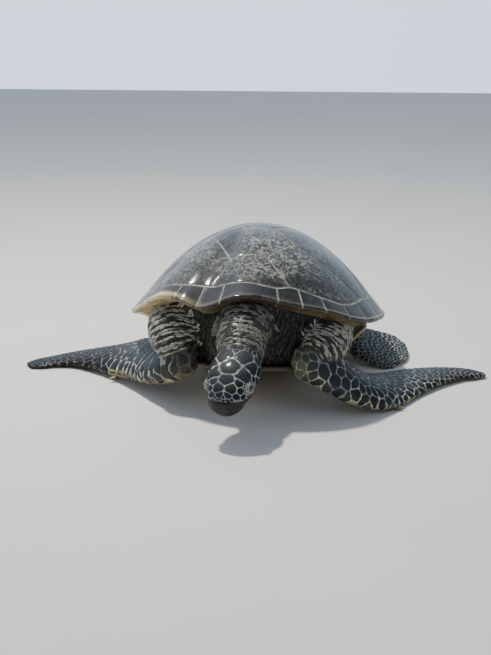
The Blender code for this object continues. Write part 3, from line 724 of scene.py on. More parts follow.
def plastronSkin(share, angle):
    share, angle = np.broadcast_arrays(np.asarray(share, float), np.asarray(angle, float))
    bridge = bridgeShare(angle)
    spots = atReach(plastronReach(angle) * share, angle, 0 * share)
    edge = belly["edge"] + (lipHeight(angle) - belly["gap"] - belly["edge"]) * bridge
    lift = np.maximum(spots[..., 1] - belly["lobeStart"], 0) * belly["lobeSlope"] * (1 - bridge)
    spots[..., 2] = edge * smoothStep(belly["turnUp"], 1.0, share) ** 1.5 + lift - belly["sink"]
    return spots


def plastronInside(share, angle, extra=0.0):
    normal = normalOf(plastronSkin, share, angle, 0.01)
    thickness = belly["thickness"] - belly["thinning"] * smoothStep(0.8, 1.0, share) + extra
    spots = plastronSkin(share, angle) + normal * thickness
    spots[..., 2] = np.minimum(spots[..., 2], lipHeight(angle) - belly["gap"])
    return spots


def bellyOverPlan(x, y):
    reach, angle = planToShell(x, y)
    spots = plastronSkin(reach / plastronReach(angle), angle)
    return np.stack([x, y, spots[..., 2]], -1)


def restOnFloor(points):
    # what would sink below the floor is pressed flat on it
    points[:, 2] = np.maximum(points[:, 2], 0.0)
    return points


def makePlastron():
    angles = roundTurns(200)
    shares = np.array([0.06, 0.2, 0.34, 0.48, 0.58, *np.linspace(0.64, 1.0, 13)])
    rings = [plastronSkin(s, angles) + [0, 0, belly["seamDepth"]] for s in shares]
    rings += [plastronInside(s, angles) for s in shares[::-1]]
    bottom = np.array([0, shell["apex"], belly["seamDepth"] - belly["sink"]])
    points, faces = closedRings(rings, bottom, bottom + [0, 0, belly["thickness"]])
    faces = [face[::-1] for face in faces]
    return newPiece("plastron_seams", restOnFloor(toWorld(points)), faces, finish["plastronHorn"])


def makeBellyScutes():
    rolls = random.Random(23)
    spec = {**scutes, **belly["scutes"]}
    outline = np.radians(np.linspace(0, 180, 181))
    x, y = rimPlan(outline)
    reach = plastronReach(outline) * 0.985
    lobe = np.stack([x * reach, shell["apex"] + (y - shell["apex"]) * reach], 1)
    # where the cross seams meet the outline, a little behind their place on the midline
    rims = np.clip(np.interp(np.array(belly["seams"]) + 0.03, lobe[:, 1], np.arange(181)), 1, 179).astype(int)
    stops = [0, *rims, 180]
    mids = [lobe[0, 1], *belly["seams"], lobe[-1, 1]]
    plates = []
    for side in (-1, 1):
        for k in range(len(stops) - 1):
            edge = lobe[stops[k] : stops[k + 1] + 1]
            spine = np.column_stack([np.zeros(24), np.linspace(mids[k + 1], mids[k], 24)])
            lower = seamBetween(edge[-1], spine[0], 0.03 * side)
            upper = seamBetween(spine[-1], edge[0], 0.03 * side)[:-1] if k else np.empty((0, 2))
            loop = np.concatenate([edge[:-1], lower[:-1], spine[:-1], upper]) * [side, 1]
            plates.append(plateFromLoop(loop, bellyOverPlan, loop.mean(0), rolls.random(), spec, flip=True))
    made = joinPlates("plastron_scutes", plates, finish["plastronHorn"])
    moveTo(made.data, restOnFloor(verticesOf(made.data)))
    return made


print("belly")
plastronBase = makePlastron()
plastronScutes = makeBellyScutes()
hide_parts("plastron")
for piece in (plastronBase, plastronScutes):
    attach(piece, "root")

# Flesh: lofts of (centre, direction to the leading edge, half chord, half thickness), joined into one skin.

flesh = {
    "neck": (
        ((-0.012, -0.460, 0.240), (1, 0, 0), 0.092, 0.085),
        ((-0.016, -0.540, 0.238), (1, 0, 0), 0.080, 0.078),
        ((-0.018, -0.610, 0.222), (1, 0, 0), 0.068, 0.066),
        ((-0.016, -0.670, 0.196), (1, 0.1, 0), 0.060, 0.054),
        ((-0.018, -0.696, 0.183), (1, 0.25, 0), 0.050, 0.045),
    ),
    "arm_left": (
        ((0.160, -0.36, 0.186), (0, 0, 1), 0.062, 0.085),
        ((0.198, -0.44, 0.187), (0, 0, 1), 0.060, 0.072),
        ((0.200, -0.51, 0.182), (0, -0.2, 1), 0.058, 0.064),
        ((0.182, -0.563, 0.170), (0, -0.6, 1), 0.052, 0.055),
        ((0.162, -0.588, 0.160), (0, -0.8, 1), 0.032, 0.034),
    ),
    "arm_right": (
        ((-0.160, -0.36, 0.205), (0, 0, 1), 0.072, 0.085),
        ((-0.198, -0.44, 0.210), (0, 0, 1), 0.076, 0.084),
        ((-0.206, -0.500, 0.196), (0, -0.4, 1), 0.070, 0.076),
        ((-0.200, -0.535, 0.168), (0, -1, 0.8), 0.054, 0.060),
        ((-0.192, -0.550, 0.145), (0, -1, 0.5), 0.030, 0.034),
    ),
    "blade_left": (
        ((0.114, -0.604, 0.158), (0.0, -0.50, -0.85), 0.018, 0.016),
        ((0.130, -0.602, 0.156), (0.0, -0.50, -0.85), 0.042, 0.034),
        ((0.172, -0.594, 0.142), (0.1, -0.50, -0.85), 0.054, 0.041),
        ((0.226, -0.574, 0.112), (0.3, -0.55, -0.75), 0.060, 0.037),
        ((0.283, -0.548, 0.076), (0.4, -0.68, -0.60), 0.072, 0.031),
        ((0.337, -0.492, 0.046), (0.5, -0.78, -0.38), 0.079, 0.025),
        ((0.395, -0.395, 0.025), (0.65, -0.74, -0.18), 0.076, 0.021),
        ((0.470, -0.305, 0.018), (0.55, -0.83, -0.05), 0.070, 0.017),
        ((0.560, -0.250, 0.013), (0.30, -0.95, 0.0), 0.053, 0.013),
        ((0.625, -0.244, 0.010), (0.05, -1.0, 0.0), 0.035, 0.010),
        ((0.654, -0.252, 0.008), (0.0, -1.0, 0.0), 0.016, 0.006),
    ),
    "blade_right": (
        ((-0.146, -0.574, 0.146), (-0.1, -0.45, -0.90), 0.018, 0.016),
        ((-0.160, -0.566, 0.142), (-0.1, -0.45, -0.90), 0.042, 0.036),
        ((-0.196, -0.535, 0.130), (-0.2, -0.48, -0.86), 0.060, 0.042),
        ((-0.245, -0.478, 0.104), (-0.35, -0.45, -0.80), 0.068, 0.037),
        ((-0.300, -0.398, 0.082), (-0.45, -0.48, -0.74), 0.072, 0.031),
        ((-0.362, -0.315, 0.060), (-0.55, -0.58, -0.58), 0.075, 0.025),
        ((-0.435, -0.243, 0.037), (-0.50, -0.82, -0.28), 0.075, 0.020),
        ((-0.520, -0.203, 0.018), (-0.25, -0.96, -0.10), 0.066, 0.016),
        ((-0.600, -0.212, 0.0095), (0.0, -1.0, 0.0), 0.052, 0.012),
        ((-0.652, -0.240, 0.0065), (0.15, -1.0, 0.0), 0.042, 0.009),
        ((-0.678, -0.256, 0.0055), (0.2, -1.0, 0.0), 0.027, 0.006),
    ),
    "hind_left": (
        ((0.100, 0.040, 0.112), (0.2, -1.0, 0.0), 0.046, 0.040),
        ((0.180, 0.018, 0.094), (0.2, -1.0, -0.1), 0.056, 0.036),
        ((0.252, -0.028, 0.066), (0.3, -0.95, -0.2), 0.074, 0.027),
        ((0.318, -0.072, 0.043), (0.3, -0.95, -0.26), 0.100, 0.018),
        ((0.375, -0.092, 0.026), (0.2, -0.97, -0.24), 0.110, 0.013),
        ((0.416, -0.098, 0.017), (0.0, -1.0, -0.20), 0.084, 0.010),
        ((0.437, -0.102, 0.010), (0.0, -1.0, -0.1), 0.042, 0.007),
    ),
    "hind_right": (
        ((-0.100, 0.030, 0.112), (-0.3, -1.0, 0.0), 0.046, 0.040),
        ((-0.165, 0.030, 0.092), (-0.3, -0.95, 0.0), 0.056, 0.036),
        ((-0.213, 0.070, 0.058), (-0.7, -0.70, 0.0), 0.070, 0.027),
        ((-0.245, 0.125, 0.030), (-0.87, -0.50, 0.0), 0.090, 0.018),
        ((-0.270, 0.175, 0.0115), (-0.90, -0.45, 0.0), 0.092, 0.014),
        ((-0.288, 0.212, 0.0065), (-0.90, -0.45, 0.0), 0.068, 0.010),
        ((-0.297, 0.231, 0.0055), (-0.90, -0.45, 0.0), 0.034, 0.007),
    ),
    "tail": (
        ((0.0, 0.060, 0.090), (1, 0, 0), 0.055, 0.044),
        ((0.0, 0.130, 0.080), (1, 0, 0), 0.042, 0.034),
        ((0.0, 0.190, 0.066), (1, 0, 0), 0.030, 0.025),
        ((0.0, 0.240, 0.052), (1, 0, 0), 0.018, 0.016),
        ((0.0, 0.272, 0.043), (1, 0, 0), 0.007, 0.007),
    ),
}
limbNames = list(flesh)
pieceId = {name: number for number, name in enumerate([*limbNames, "head", "trunk"])}
shoulders = {"left": (0.19, -0.44, 0.19), "right": (-0.19, -0.44, 0.21)}
skinSpec = {
    "voxel": 0.0034, "smooth": 5, "coat": 0.0012, "fold": 0.0034, "triangles": 192000,
    "sides": 72, "trunkSides": 144, "steps": 10, "leadingBias": 0.42,
    "hiddenRows": (3.6, 8.4),  # rings of the trunk between which the shell doesn't hide it
}

head = {
    "base": Vector((-0.014, -0.682, 0.189)), "yaw": math.radians(-12), "down": math.radians(25),
    # along, half width, top, bottom
    "stations": (
        (0.000, 0.052, 0.042, 0.048), (0.026, 0.061, 0.048, 0.054), (0.056, 0.066, 0.050, 0.056),
        (0.086, 0.066, 0.049, 0.055), (0.114, 0.061, 0.044, 0.052), (0.140, 0.053, 0.034, 0.049),
        (0.160, 0.0455, 0.021, 0.046), (0.168, 0.0375, 0.0125, 0.044), (0.174, 0.029, 0.0045, 0.0405),
        (0.1775, 0.021, -0.0035, 0.036), (0.1794, 0.0125, -0.011, 0.031), (0.18, 0.0045, -0.018, 0.0255),
    ),
    "eyeRadius": 0.0175, "eyeAt": (0.0465, 0.114, 0.008), "opening": (math.radians(46), math.radians(33)),
    "mouthBack": 0.066, "mouthDrop": 0.027, "mouthSlope": math.radians(-3),
    "beakBack": 0.104, "browSlope": math.radians(27.5), "jawRun": 1.4,
    "nostril": (0.0085, 0.1675, 0.0115), "snoutTip": -0.022, "eyeLean": (0.22, 0.16), "lidTilt": 0.25,
    # cheek, brow, hollows behind and before the eye, forehead, bridge of the snout: rise, along, width, turn, blur
    "swells": (
        (0.0030, 0.046, 0.026, 98, 30), (0.0028, 0.112, 0.018, 48, 15), (-0.0030, 0.086, 0.012, 66, 20),
        (-0.0022, 0.136, 0.014, 70, 22), (-0.0016, 0.125, 0.02, 0, 20), (0.0014, 0.150, 0.012, 0, 26),
    ),
}
# places along the head where it is sampled, closer together as the snout rounds off
headAlongs = np.concatenate([np.linspace(0, 0.15, 31), 0.15 + 0.03 * np.sin(np.linspace(0, np.pi / 2, 20)[1:])])
headFrame = (Matrix.Translation(head["base"]) @ Matrix.Rotation(math.pi + head["yaw"], 4, "Z")
             @ Matrix.Rotation(-head["down"], 4, "X"))
headMatrix = np.array(headFrame)


def fromHead(points):
    return np.asarray(points) @ headMatrix[:3, :3].T + headMatrix[:3, 3]


def onSide(name, sign):
    # a spot of the head, on its right side for 1, on its left for -1 and in the middle for 0
    return np.array(head[name]) * (sign, 1, 1)


def toHead(points):
    return (np.asarray(points) - headMatrix[:3, 3]) @ headMatrix[:3, :3]


def smoothRows(stations, steps):
    rows = np.array(stations, float)
    rows = np.concatenate([rows[:1], rows, rows[-1:]])
    found = []
    for a, b, c, d in zip(rows, rows[1:], rows[2:], rows[3:]):
        for t in np.arange(steps) / steps:
            curve = 2 * b + (c - a) * t + (2 * a - 5 * b + 4 * c - d) * t**2 + (3 * b - a - 3 * c + d) * t**3
            found.append(0.5 * curve)
    found.append(rows[-2])
    return np.array(found)


def limbRings(stations, sides, steps, bias):
    rows = smoothRows([(*centre, *chord, half, thick) for centre, chord, half, thick in stations], steps)
    centres = rows[:, :3]
    along = np.gradient(centres, axis=0)
    along /= np.linalg.norm(along, axis=1, keepdims=True)
    chord = rows[:, 3:6] - along * (rows[:, 3:6] * along).sum(1, keepdims=True)
    chord /= np.linalg.norm(chord, axis=1, keepdims=True)
    normal = np.cross(along, chord)
    angle = roundTurns(sides)
    across = np.cos(angle)
    full = (1 + bias * across) / (1 + bias * 0.4) * np.sin(angle)
    rings = centres[:, None] + chord[:, None] * (rows[:, 6, None] * across)[..., None]
    rings = rings + normal[:, None] * (rows[:, 7, None] * full)[..., None]
    start = centres[0] - along[0] * rows[0, 7] * 0.25
    end = centres[-1] + along[-1] * rows[-1, 7] * 0.8
    return rings, start, end, along


def snoutHeight(along):
    # the middle of the head's section drops toward the tip of the beak
    return head["snoutTip"] * smoothStep(0.13, 0.178, along)


def headShape(along, turn):
    # a point of the head, `turn` measured from the crown: 90 degrees is a cheek, 180 the chin
    rows = smoothRows(head["stations"], 12)
    half, top, bottom = (np.interp(along, rows[:, 0], rows[:, k]) for k in (1, 2, 3))
    across = np.sign(np.sin(turn)) * np.abs(np.sin(turn)) ** 0.88
    up = np.sign(np.cos(turn)) * np.abs(np.cos(turn)) ** 0.92
    narrow = 1 - (0.16 + 0.24 * smoothStep(0.12, 0.17, along)) * np.maximum(-up, 0)
    middle = snoutHeight(along)
    height = middle + up * np.where(up > 0, top - middle, bottom + middle)
    spots = np.stack([half * across * narrow, along + 0 * turn, height], -1)
    side = np.degrees(np.abs(wrapped(turn)))
    swell = 0
    for rise, at, width, angle, blur in head["swells"]:
        swell = swell + rise * np.exp(-(((along - at) / width) ** 2) - ((side - angle) / blur) ** 2)
    outward = spots * [1, 0, 1]
    outward = outward / np.maximum(np.linalg.norm(outward, axis=-1, keepdims=True), 1e-9)
    return spots + outward * swell[..., None]


def trunkRings(sides):
    angle = roundTurns(sides)
    gap = belly["gap"]
    lip = atReach(lipReach(angle) - 0.002, angle, lipHeight(angle) - gap)
    foot = plastronInside(0.96, angle, 0.003)
    flank = (lip + foot) / 2
    bulge = (1 + 0.03 * (1 - bridgeShare(angle)))[:, None]
    flank[:, :2] = [0, shell["apex"]] + (flank[:, :2] - [0, shell["apex"]]) * bulge
    rings = []
    for reach in shell["insideReaches"][::-1]:
        depth = normalOf(shellSkin, np.full(sides, reach), angle) * (shell["wall"] + gap)
        rings.append(atReach(reach, angle, domeHeight(reach, angle)) - depth)
    rings += [lip, 0.5 * lip + 0.5 * flank, flank, 0.5 * flank + 0.5 * foot, foot]
    rings += [plastronInside(share, angle, gap) for share in (0.88, 0.76, 0.62, 0.34)]
    top = np.array([0, shell["apex"], shell["depth"] - shell["wall"] - gap])
    bottom = np.array([0, shell["apex"], belly["thickness"] - belly["sink"] + gap])
    return [toWorld(ring) for ring in rings], toWorld(top), toWorld(bottom)


def fleshLofts():
    # every loft as closed rings, and samples that tell a nearby point its piece, place along, turn and direction
    meshes, samples = [], []

    def addLoft(name, rings, start, end, lengths, ways):
        meshes.append(closedRings(list(rings), start, end))
        for length, ring, way in zip(lengths, rings, ways):
            samples.extend((spot, pieceId[name], length, j / len(ring), way) for j, spot in enumerate(ring))

    sides = skinSpec["sides"]
    for name in limbNames:
        flat = name.startswith(("blade", "hind"))
        bias = skinSpec["leadingBias"] if flat else 0.0
        rings, start, end, along = limbRings(flesh[name], sides, skinSpec["steps"], bias)
        lengths = np.concatenate([[0], np.cumsum(np.linalg.norm(np.diff(rings.mean(1), axis=0), axis=1))])
        addLoft(name, rings, start, end, lengths, along)
    turns = roundTurns(sides)
    rings = [fromHead(headShape(np.full(sides, a), turns)) for a in headAlongs]
    tip = fromHead((0, headAlongs[-1] + 0.0002, head["snoutTip"]))
    addLoft("head", rings, fromHead((0, 0, 0)), tip, headAlongs, [headMatrix[:3, 1]] * len(rings))
    rings, start, end = trunkRings(skinSpec["trunkSides"])
    addLoft("trunk", rings, start, end, np.arange(len(rings), dtype=float), [(0, -1, 0)] * len(rings))
    return meshes, samples


def evaluated(obj):
    made = bpy.data.meshes.new_from_object(obj.evaluated_get(bpy.context.evaluated_depsgraph_get()))
    for modifier in list(obj.modifiers):
        obj.modifiers.remove(modifier)
    obj.data = made
    return obj


class SampleMap:
    # answers where a point lies on the lofts
    def __init__(self, samples):
        self.tree = kdtree.KDTree(len(samples))
        for number, sample in enumerate(samples):
            self.tree.insert(sample[0], number)
        self.tree.balance()
        self.piece, self.along, self.turn = (np.array([s[k] for s in samples]) for k in (1, 2, 3))
        self.way = np.array([tuple(s[4]) for s in samples])

    def find(self, points):
        return np.array([self.tree.find(p)[1] for p in points])


def isPiece(numbers, *names):
    return np.isin(numbers, [pieceId[name] for name in names])


def spread(values, edges, rounds):
    # averages a value over neighbouring vertices
    values = values.astype(float)
    degree = np.bincount(edges.ravel(), minlength=len(values)).astype(float)
    for _ in range(rounds):
        total = np.bincount(edges[:, 0], values[edges[:, 1]], len(values))
        total += np.bincount(edges[:, 1], values[edges[:, 0]], len(values))
        values = 0.4 * values + 0.6 * total / np.maximum(degree, 1)
    return values


def shellDepthOf(points):
    # how far below the dome's outer surface a world point lies, and its reach
    c, s = math.cos(shell["noseUp"]), math.sin(shell["noseUp"])
    x, y, z = points.T
    y, z = y * c - z * s, y * s + z * c
    reach, angle = planToShell(x, y)
    return domeHeight(np.minimum(reach, 1.0), angle) - z, reach, angle, z


def thinOut(obj, chosen, ratio):
    # fewer faces where the vertices are chosen
    group = obj.vertex_groups.new(name="chosen")
    group.add([int(i) for i in np.nonzero(chosen)[0]], 1.0, "REPLACE")
    thin = obj.modifiers.new("thin", "DECIMATE")
    thin.ratio = ratio
    thin.vertex_group = "chosen"
    thin.vertex_group_factor = 10.0
    evaluated(obj)
    obj.vertex_groups.clear()


def buildSkin(meshes, samples):
    obj = newPiece("skin", *joinMeshes(meshes), finish["livingSkin"])
    remesh = obj.modifiers.new("joined", "REMESH")
    remesh.mode = "VOXEL"
    remesh.voxel_size = skinSpec["voxel"]
    soften = obj.modifiers.new("softened", "SMOOTH")
    soften.factor = 0.5
    soften.iterations = skinSpec["smooth"]
    evaluated(obj)
    print("skin faces", len(obj.data.polygons))
    # the part that the shell hides is kept closed, but coarse
    found = samples.find(verticesOf(obj.data))
    row = samples.along[found]
    first, last = skinSpec["hiddenRows"]
    hidden = isPiece(samples.piece[found], "trunk") & ((row < first) | (row > last))
    thinOut(obj, hidden, 1 - 0.93 * hidden.mean())
    print("skin faces, hidden part coarse", len(obj.data.polygons))
    return obj


def refineHead(obj):
    # smaller faces where the head and the eyelids need them
    bm = bmesh.new()
    bm.from_mesh(obj.data)
    eyes = [Vector(fromHead(onSide("eyeAt", sign))) for sign in (-1, 1)]
    nose = Vector(fromHead(onSide("nostril", 0)))
    centre = Vector(fromHead((0, 0.10, 0)))
    for regions in ([(centre, 0.095)], [(eyes[0], 0.027), (eyes[1], 0.027), (nose, 0.016)]):
        inside = lambda v: any((v.co - spot).length < radius for spot, radius in regions)
        edges = [e for e in bm.edges if inside(e.verts[0]) and inside(e.verts[1])]
        bmesh.ops.subdivide_edges(bm, edges=edges, cuts=1, use_grid_fill=True)
    bmesh.ops.triangulate(bm, faces=[f for f in bm.faces if len(f.verts) > 4])
    bm.to_mesh(obj.data)
    bm.free()
    print("skin faces, head refined", len(obj.data.polygons))


def noiseAt(points, scale, seed=0.0):
    return np.array([noise.noise(Vector((x * scale + seed, y * scale, z * scale))) for x, y, z in points])


def foldSkin(obj, samples):
    mesh = obj.data
    points = verticesOf(mesh)
    edges = np.empty(len(mesh.edges) * 2, np.int64)
    mesh.edges.foreach_get("vertices", edges)
    edges = edges.reshape(-1, 2)
    found = samples.find(points)
    piece, along = samples.piece[found], samples.along[found]
    neck, trunk, tail = (isPiece(piece, name) for name in ("neck", "trunk", "tail"))
    arms, blades, hinds = (isPiece(piece, name + "_left", name + "_right") for name in ("arm", "blade", "hind"))
    warp = noiseAt(points, 11.0) * 0.010 + noiseAt(points, 34.0, 5.0) * 0.0035
    # folds lie in rings round the neck and the upper arms, and in arcs on the chest between them
    shoulder = np.minimum(*(np.linalg.norm(points - spot, axis=1) for spot in shoulders.values()))
    limbPhase = (along + warp) / np.where(neck, 0.0125, 0.0118)
    phase = np.where(trunk, (shoulder + warp * 1.6) / 0.017, limbPhase)
    ridge = 1 - np.abs(2 * (phase - np.floor(phase)) - 1) ** 2.4
    lumps = samples.turn[found] * 2 * np.pi * 34 + np.floor(phase) * 2.4 + noiseAt(points, 40.0, 9.0) * 4
    crest = smoothStep(0.72, 0.96, ridge)
    ridge = ridge * (0.72 + 0.28 * (0.5 + 0.5 * np.sin(lumps)))
    folded = 1.0 * (neck | arms | trunk) + 0.35 * (hinds & (along < 0.16))
    folded = spread(folded + 0.5 * (blades & (along < 0.035)) + 0.3 * tail, edges, 14)
    push = folded * skinSpec["fold"] * (ridge - 0.75) * np.where(trunk, 1.5, 1.0)
    push = push + noiseAt(points, 70.0, 2.0) * 0.0006 - skinSpec["coat"]
    normals = normalsOf(mesh)
    # the shell hides what lies under it, and the folds stay clear of it
    depth, reach, _, _ = shellDepthOf(points)
    push = push - 0.002 * smoothStep(0.022, 0.008, depth) * (reach < 1.02)
    points = points + normals * push[:, None]
    # a collar of pale beads where the head meets the neck
    local = toHead(points)
    collar = 0.8 * hump(local[:, 1], 0.006, 0.005) * (local[:, 2] > 0) * isPiece(piece, "neck", "head")
    elbows = [share * hump(np.linalg.norm(points - spot, axis=1), 0, 0.048)
              for share, spot in ((0.85, (0.125, -0.605, 0.150)), (0.25, (-0.165, -0.560, 0.115)))]
    attributes = {
        "ridge": ridge, "folded": folded,
        # crest: a painted highlight on the crests of the folds, held back on the neck and to half on the chest, which
        # lies in shade; the pale collar as well
        "crest": np.maximum(collar, crest * folded * np.where(trunk, 0.5, np.where(neck, 0.74, 1.0))),
        "brown": spread(1.0 * (neck | arms | trunk | (blades & (along < 0.045))) + 0.5 * tail, edges, 16),
        "olive": elbows[0] + elbows[1],
        "under": spread(smoothStep(-0.55, -0.97, normals[:, 2]) * 0.9, edges, 6),
    }
    return points, attributes, piece, along, found


def eyeFrame(sign):
    # centre, the way the eye looks, and the ways forward and up across it
    centre = fromHead(onSide("eyeAt", sign))
    axis = headMatrix[:3, :3] @ (np.array((sign, *head["eyeLean"])) / np.linalg.norm((1, *head["eyeLean"])))
    fore = headMatrix[:3, 1] - axis * (headMatrix[:3, 1] @ axis)
    fore /= np.linalg.norm(fore)
    upper = np.cross(axis, fore)
    return centre, axis, fore, upper * np.sign(upper @ headMatrix[:3, 2])


def lidOpening(bearing):
    wide, high = head["opening"]
    bearing = bearing - head["lidTilt"]
    return 1 / np.sqrt((np.cos(bearing) / wide) ** 2 + (np.sin(bearing) / high) ** 2)


def shapeLids(points):
    # lids stand proud round each eyeball, with a few folds, and the skin dips behind it in the opening
    radius = head["eyeRadius"]
    for sign in (-1, 1):
        centre, axis, fore, upper = eyeFrame(sign)
        away = points - centre
        span = np.linalg.norm(away, axis=1)
        near = span < 0.036
        span, way = span[near], away[near] / span[near, None]
        tilt = np.arccos(np.clip(way @ axis, -1, 1))
        opening = lidOpening(np.arctan2(way @ upper, way @ fore))
        folds = 0.0007 * np.cos((tilt - opening) * 26) * smoothStep(0, 0.15, tilt - opening)
        lid = radius + 0.0016 + 0.0010 * smoothStep(0, 0.2, tilt - opening) + folds
        share = 1 - smoothStep(math.radians(62), math.radians(92), tilt)
        outside = span + (np.maximum(lid, span + folds) - span) * share
        made = np.where(tilt < opening, radius - 0.0022, outside)
        keep = tilt < math.radians(95)
        spots = points[near]
        spots[keep] = centre + way[keep] * made[keep, None]
        points[near] = spots
    return points


def shapeMuzzle(points, normals):
    # nostril pits, and the crease of the mouth behind the beak, both darkened as painted shade
    pit = np.zeros(len(points))
    local = toHead(points)
    for sign in (-1, 1):
        span = np.linalg.norm((local - onSide("nostril", sign)) * [1, 1, 1.3], axis=1)
        pit = np.maximum(pit, hump(span, 0, 0.0034))
    along, height = local[:, 1], local[:, 2]
    mouth = -head["mouthDrop"] + (along - head["mouthBack"]) * math.tan(head["mouthSlope"])
    crease = hump(height, mouth, 0.0018) * smoothStep(0.058, 0.070, along) * (along < 0.2)
    crease = crease * (np.abs(local[:, 0]) > 0.02) * (np.linalg.norm(local, axis=1) < 0.22)
    dark = np.maximum(smoothStep(0.2, 0.7, pit), crease * 0.8)
    return points - normals * (0.0045 * pit + 0.0020 * crease)[:, None], dark


def unwrapAt(piece, along, turn):
    # an unwrap of the skin: each loft's length and girth fill a cell of their own
    lengths = np.array([0.30, 0.30, 0.30, 0.80, 0.80, 0.42, 0.42, 0.25, 0.19, 12.5])  # in the order of pieceId
    row, column = np.divmod(np.asarray(piece), 4)
    u = (column + 0.06 + 0.88 * np.clip(along / lengths[piece], 0, 1)) / 4
    v = (row + 0.06 + 0.88 * turn) / 3
    return np.stack([u, v], -1)


print("skin")
meshes, rawSamples = fleshLofts()
samples = SampleMap(rawSamples)
skin = buildSkin(meshes, samples)
refineHead(skin)
skinPoints, skinMarks, skinPiece, skinAlong, skinFound = foldSkin(skin, samples)
moveTo(skin.data, skinPoints)
skinPoints, sooty = shapeMuzzle(skinPoints, normalsOf(skin.data))
skinPoints = restOnFloor(shapeLids(skinPoints))
moveTo(skin.data, skinPoints)
# darkening: painted shade in the nostrils, at the corners of the mouth and over the chest, and darker tips of the
# front flippers
for name, dark, start, end in (("blade_right", 0.85, 0.34, 0.46), ("blade_left", 0.45, 0.42, 0.56)):
    sooty = np.maximum(sooty, dark * smoothStep(start, end, skinAlong) * isPiece(skinPiece, name))
skinMarks["sooty"] = np.maximum(sooty, 0.6 * isPiece(skinPiece, "trunk"))
addMarks(skin.data, skinMarks)
skin.data.materials.clear()
skin.data.materials.append(finish["livingSkin"])
skin.data.shade_smooth()

# Scales: seeds placed or thrown over the skin, each grown to the cell between its neighbours.

coat = {
    "gap": 0.0019, "headGap": 0.0016, "foldGap": 0.0010, "rise": 0.0013, "seed": 5,
    "neck": 0.0088, "trunk": 0.0100, "elbow": 0.031, "bladeMiddle": 0.025, "toe": 0.011, "tail": 0.009,
    # plates of the crown and temples: along, turn from the crown in degrees, size
    "plates": (
        (0.146, 17, 0.0250), (0.122, 0, 0.0270), (0.104, 39, 0.0370), (0.084, 0, 0.0430), (0.046, 26, 0.0440),
        (0.064, 52, 0.0360), (0.092, 72, 0.0150), (0.084, 86, 0.0150), (0.081, 101, 0.0150), (0.086, 116, 0.0150),
        (0.060, 77, 0.0230), (0.060, 97, 0.0230), (0.062, 117, 0.0200), (0.034, 62, 0.0250), (0.034, 86, 0.0230),
        (0.036, 108, 0.0210), (0.011, 68, 0.0190), (0.011, 92, 0.0180), (0.010, 7, 0.0120), (0.010, 20, 0.0125),
        (0.011, 33, 0.0130), (0.011, 47, 0.0135), (0.026, 0, 0.0120),
        (0.127, 35, 0.0190), (0.141, 48, 0.0170), (0.156, 40, 0.0140), (0.160, 12, 0.0150), (0.146, 72, 0.0130),
    ),
    # for large scales and small ones: share of the way out, height, and paleness of the middle at each ring
    "large": {"shares": (0.45, 0.85, 1.0), "heights": (1.0, 0.86, 0.25), "middle": (0.8, 0.35, 0.0)},
    "small": {"shares": (0.72, 1.0), "heights": (0.92, 0.25), "middle": (0.5, 0.0)},
    "largeFrom": 0.012, "smallRise": 0.85, "least": 0.0016**2, "patch": 0.0015, "foot": 0.0009, "root": 0.0012,
    "throws": 9, "apart": 0.40, "round": 1.22,  # seeds tried for a scale, their spacing, and more of it near plates
    "groups": {"head": "head", "trunk": "body", "neck": "neck", "tail": "body", "arm_left": "arm", "arm_right": "arm",
               "blade_left": "leftFlipper", "blade_right": "rightFlipper", "hind_left": "hind", "hind_right": "hind"},
}


polygons = [tuple(face.vertices) for face in skin.data.polygons]
skinFaces = np.array([p for p in polygons if len(p) == 3]
                     + [(p[0], *p[k : k + 2]) for p in polygons if len(p) == 4 for k in (1, 2)])
vertexNormals = normalsOf(skin.data)
faceNormals = vertexNormals[skinFaces].sum(1)
faceNormals /= np.maximum(np.linalg.norm(faceNormals, axis=1, keepdims=True), 1e-9)
skinTree = BVHTree.FromPolygons(skinPoints.tolist(), skinFaces.tolist())


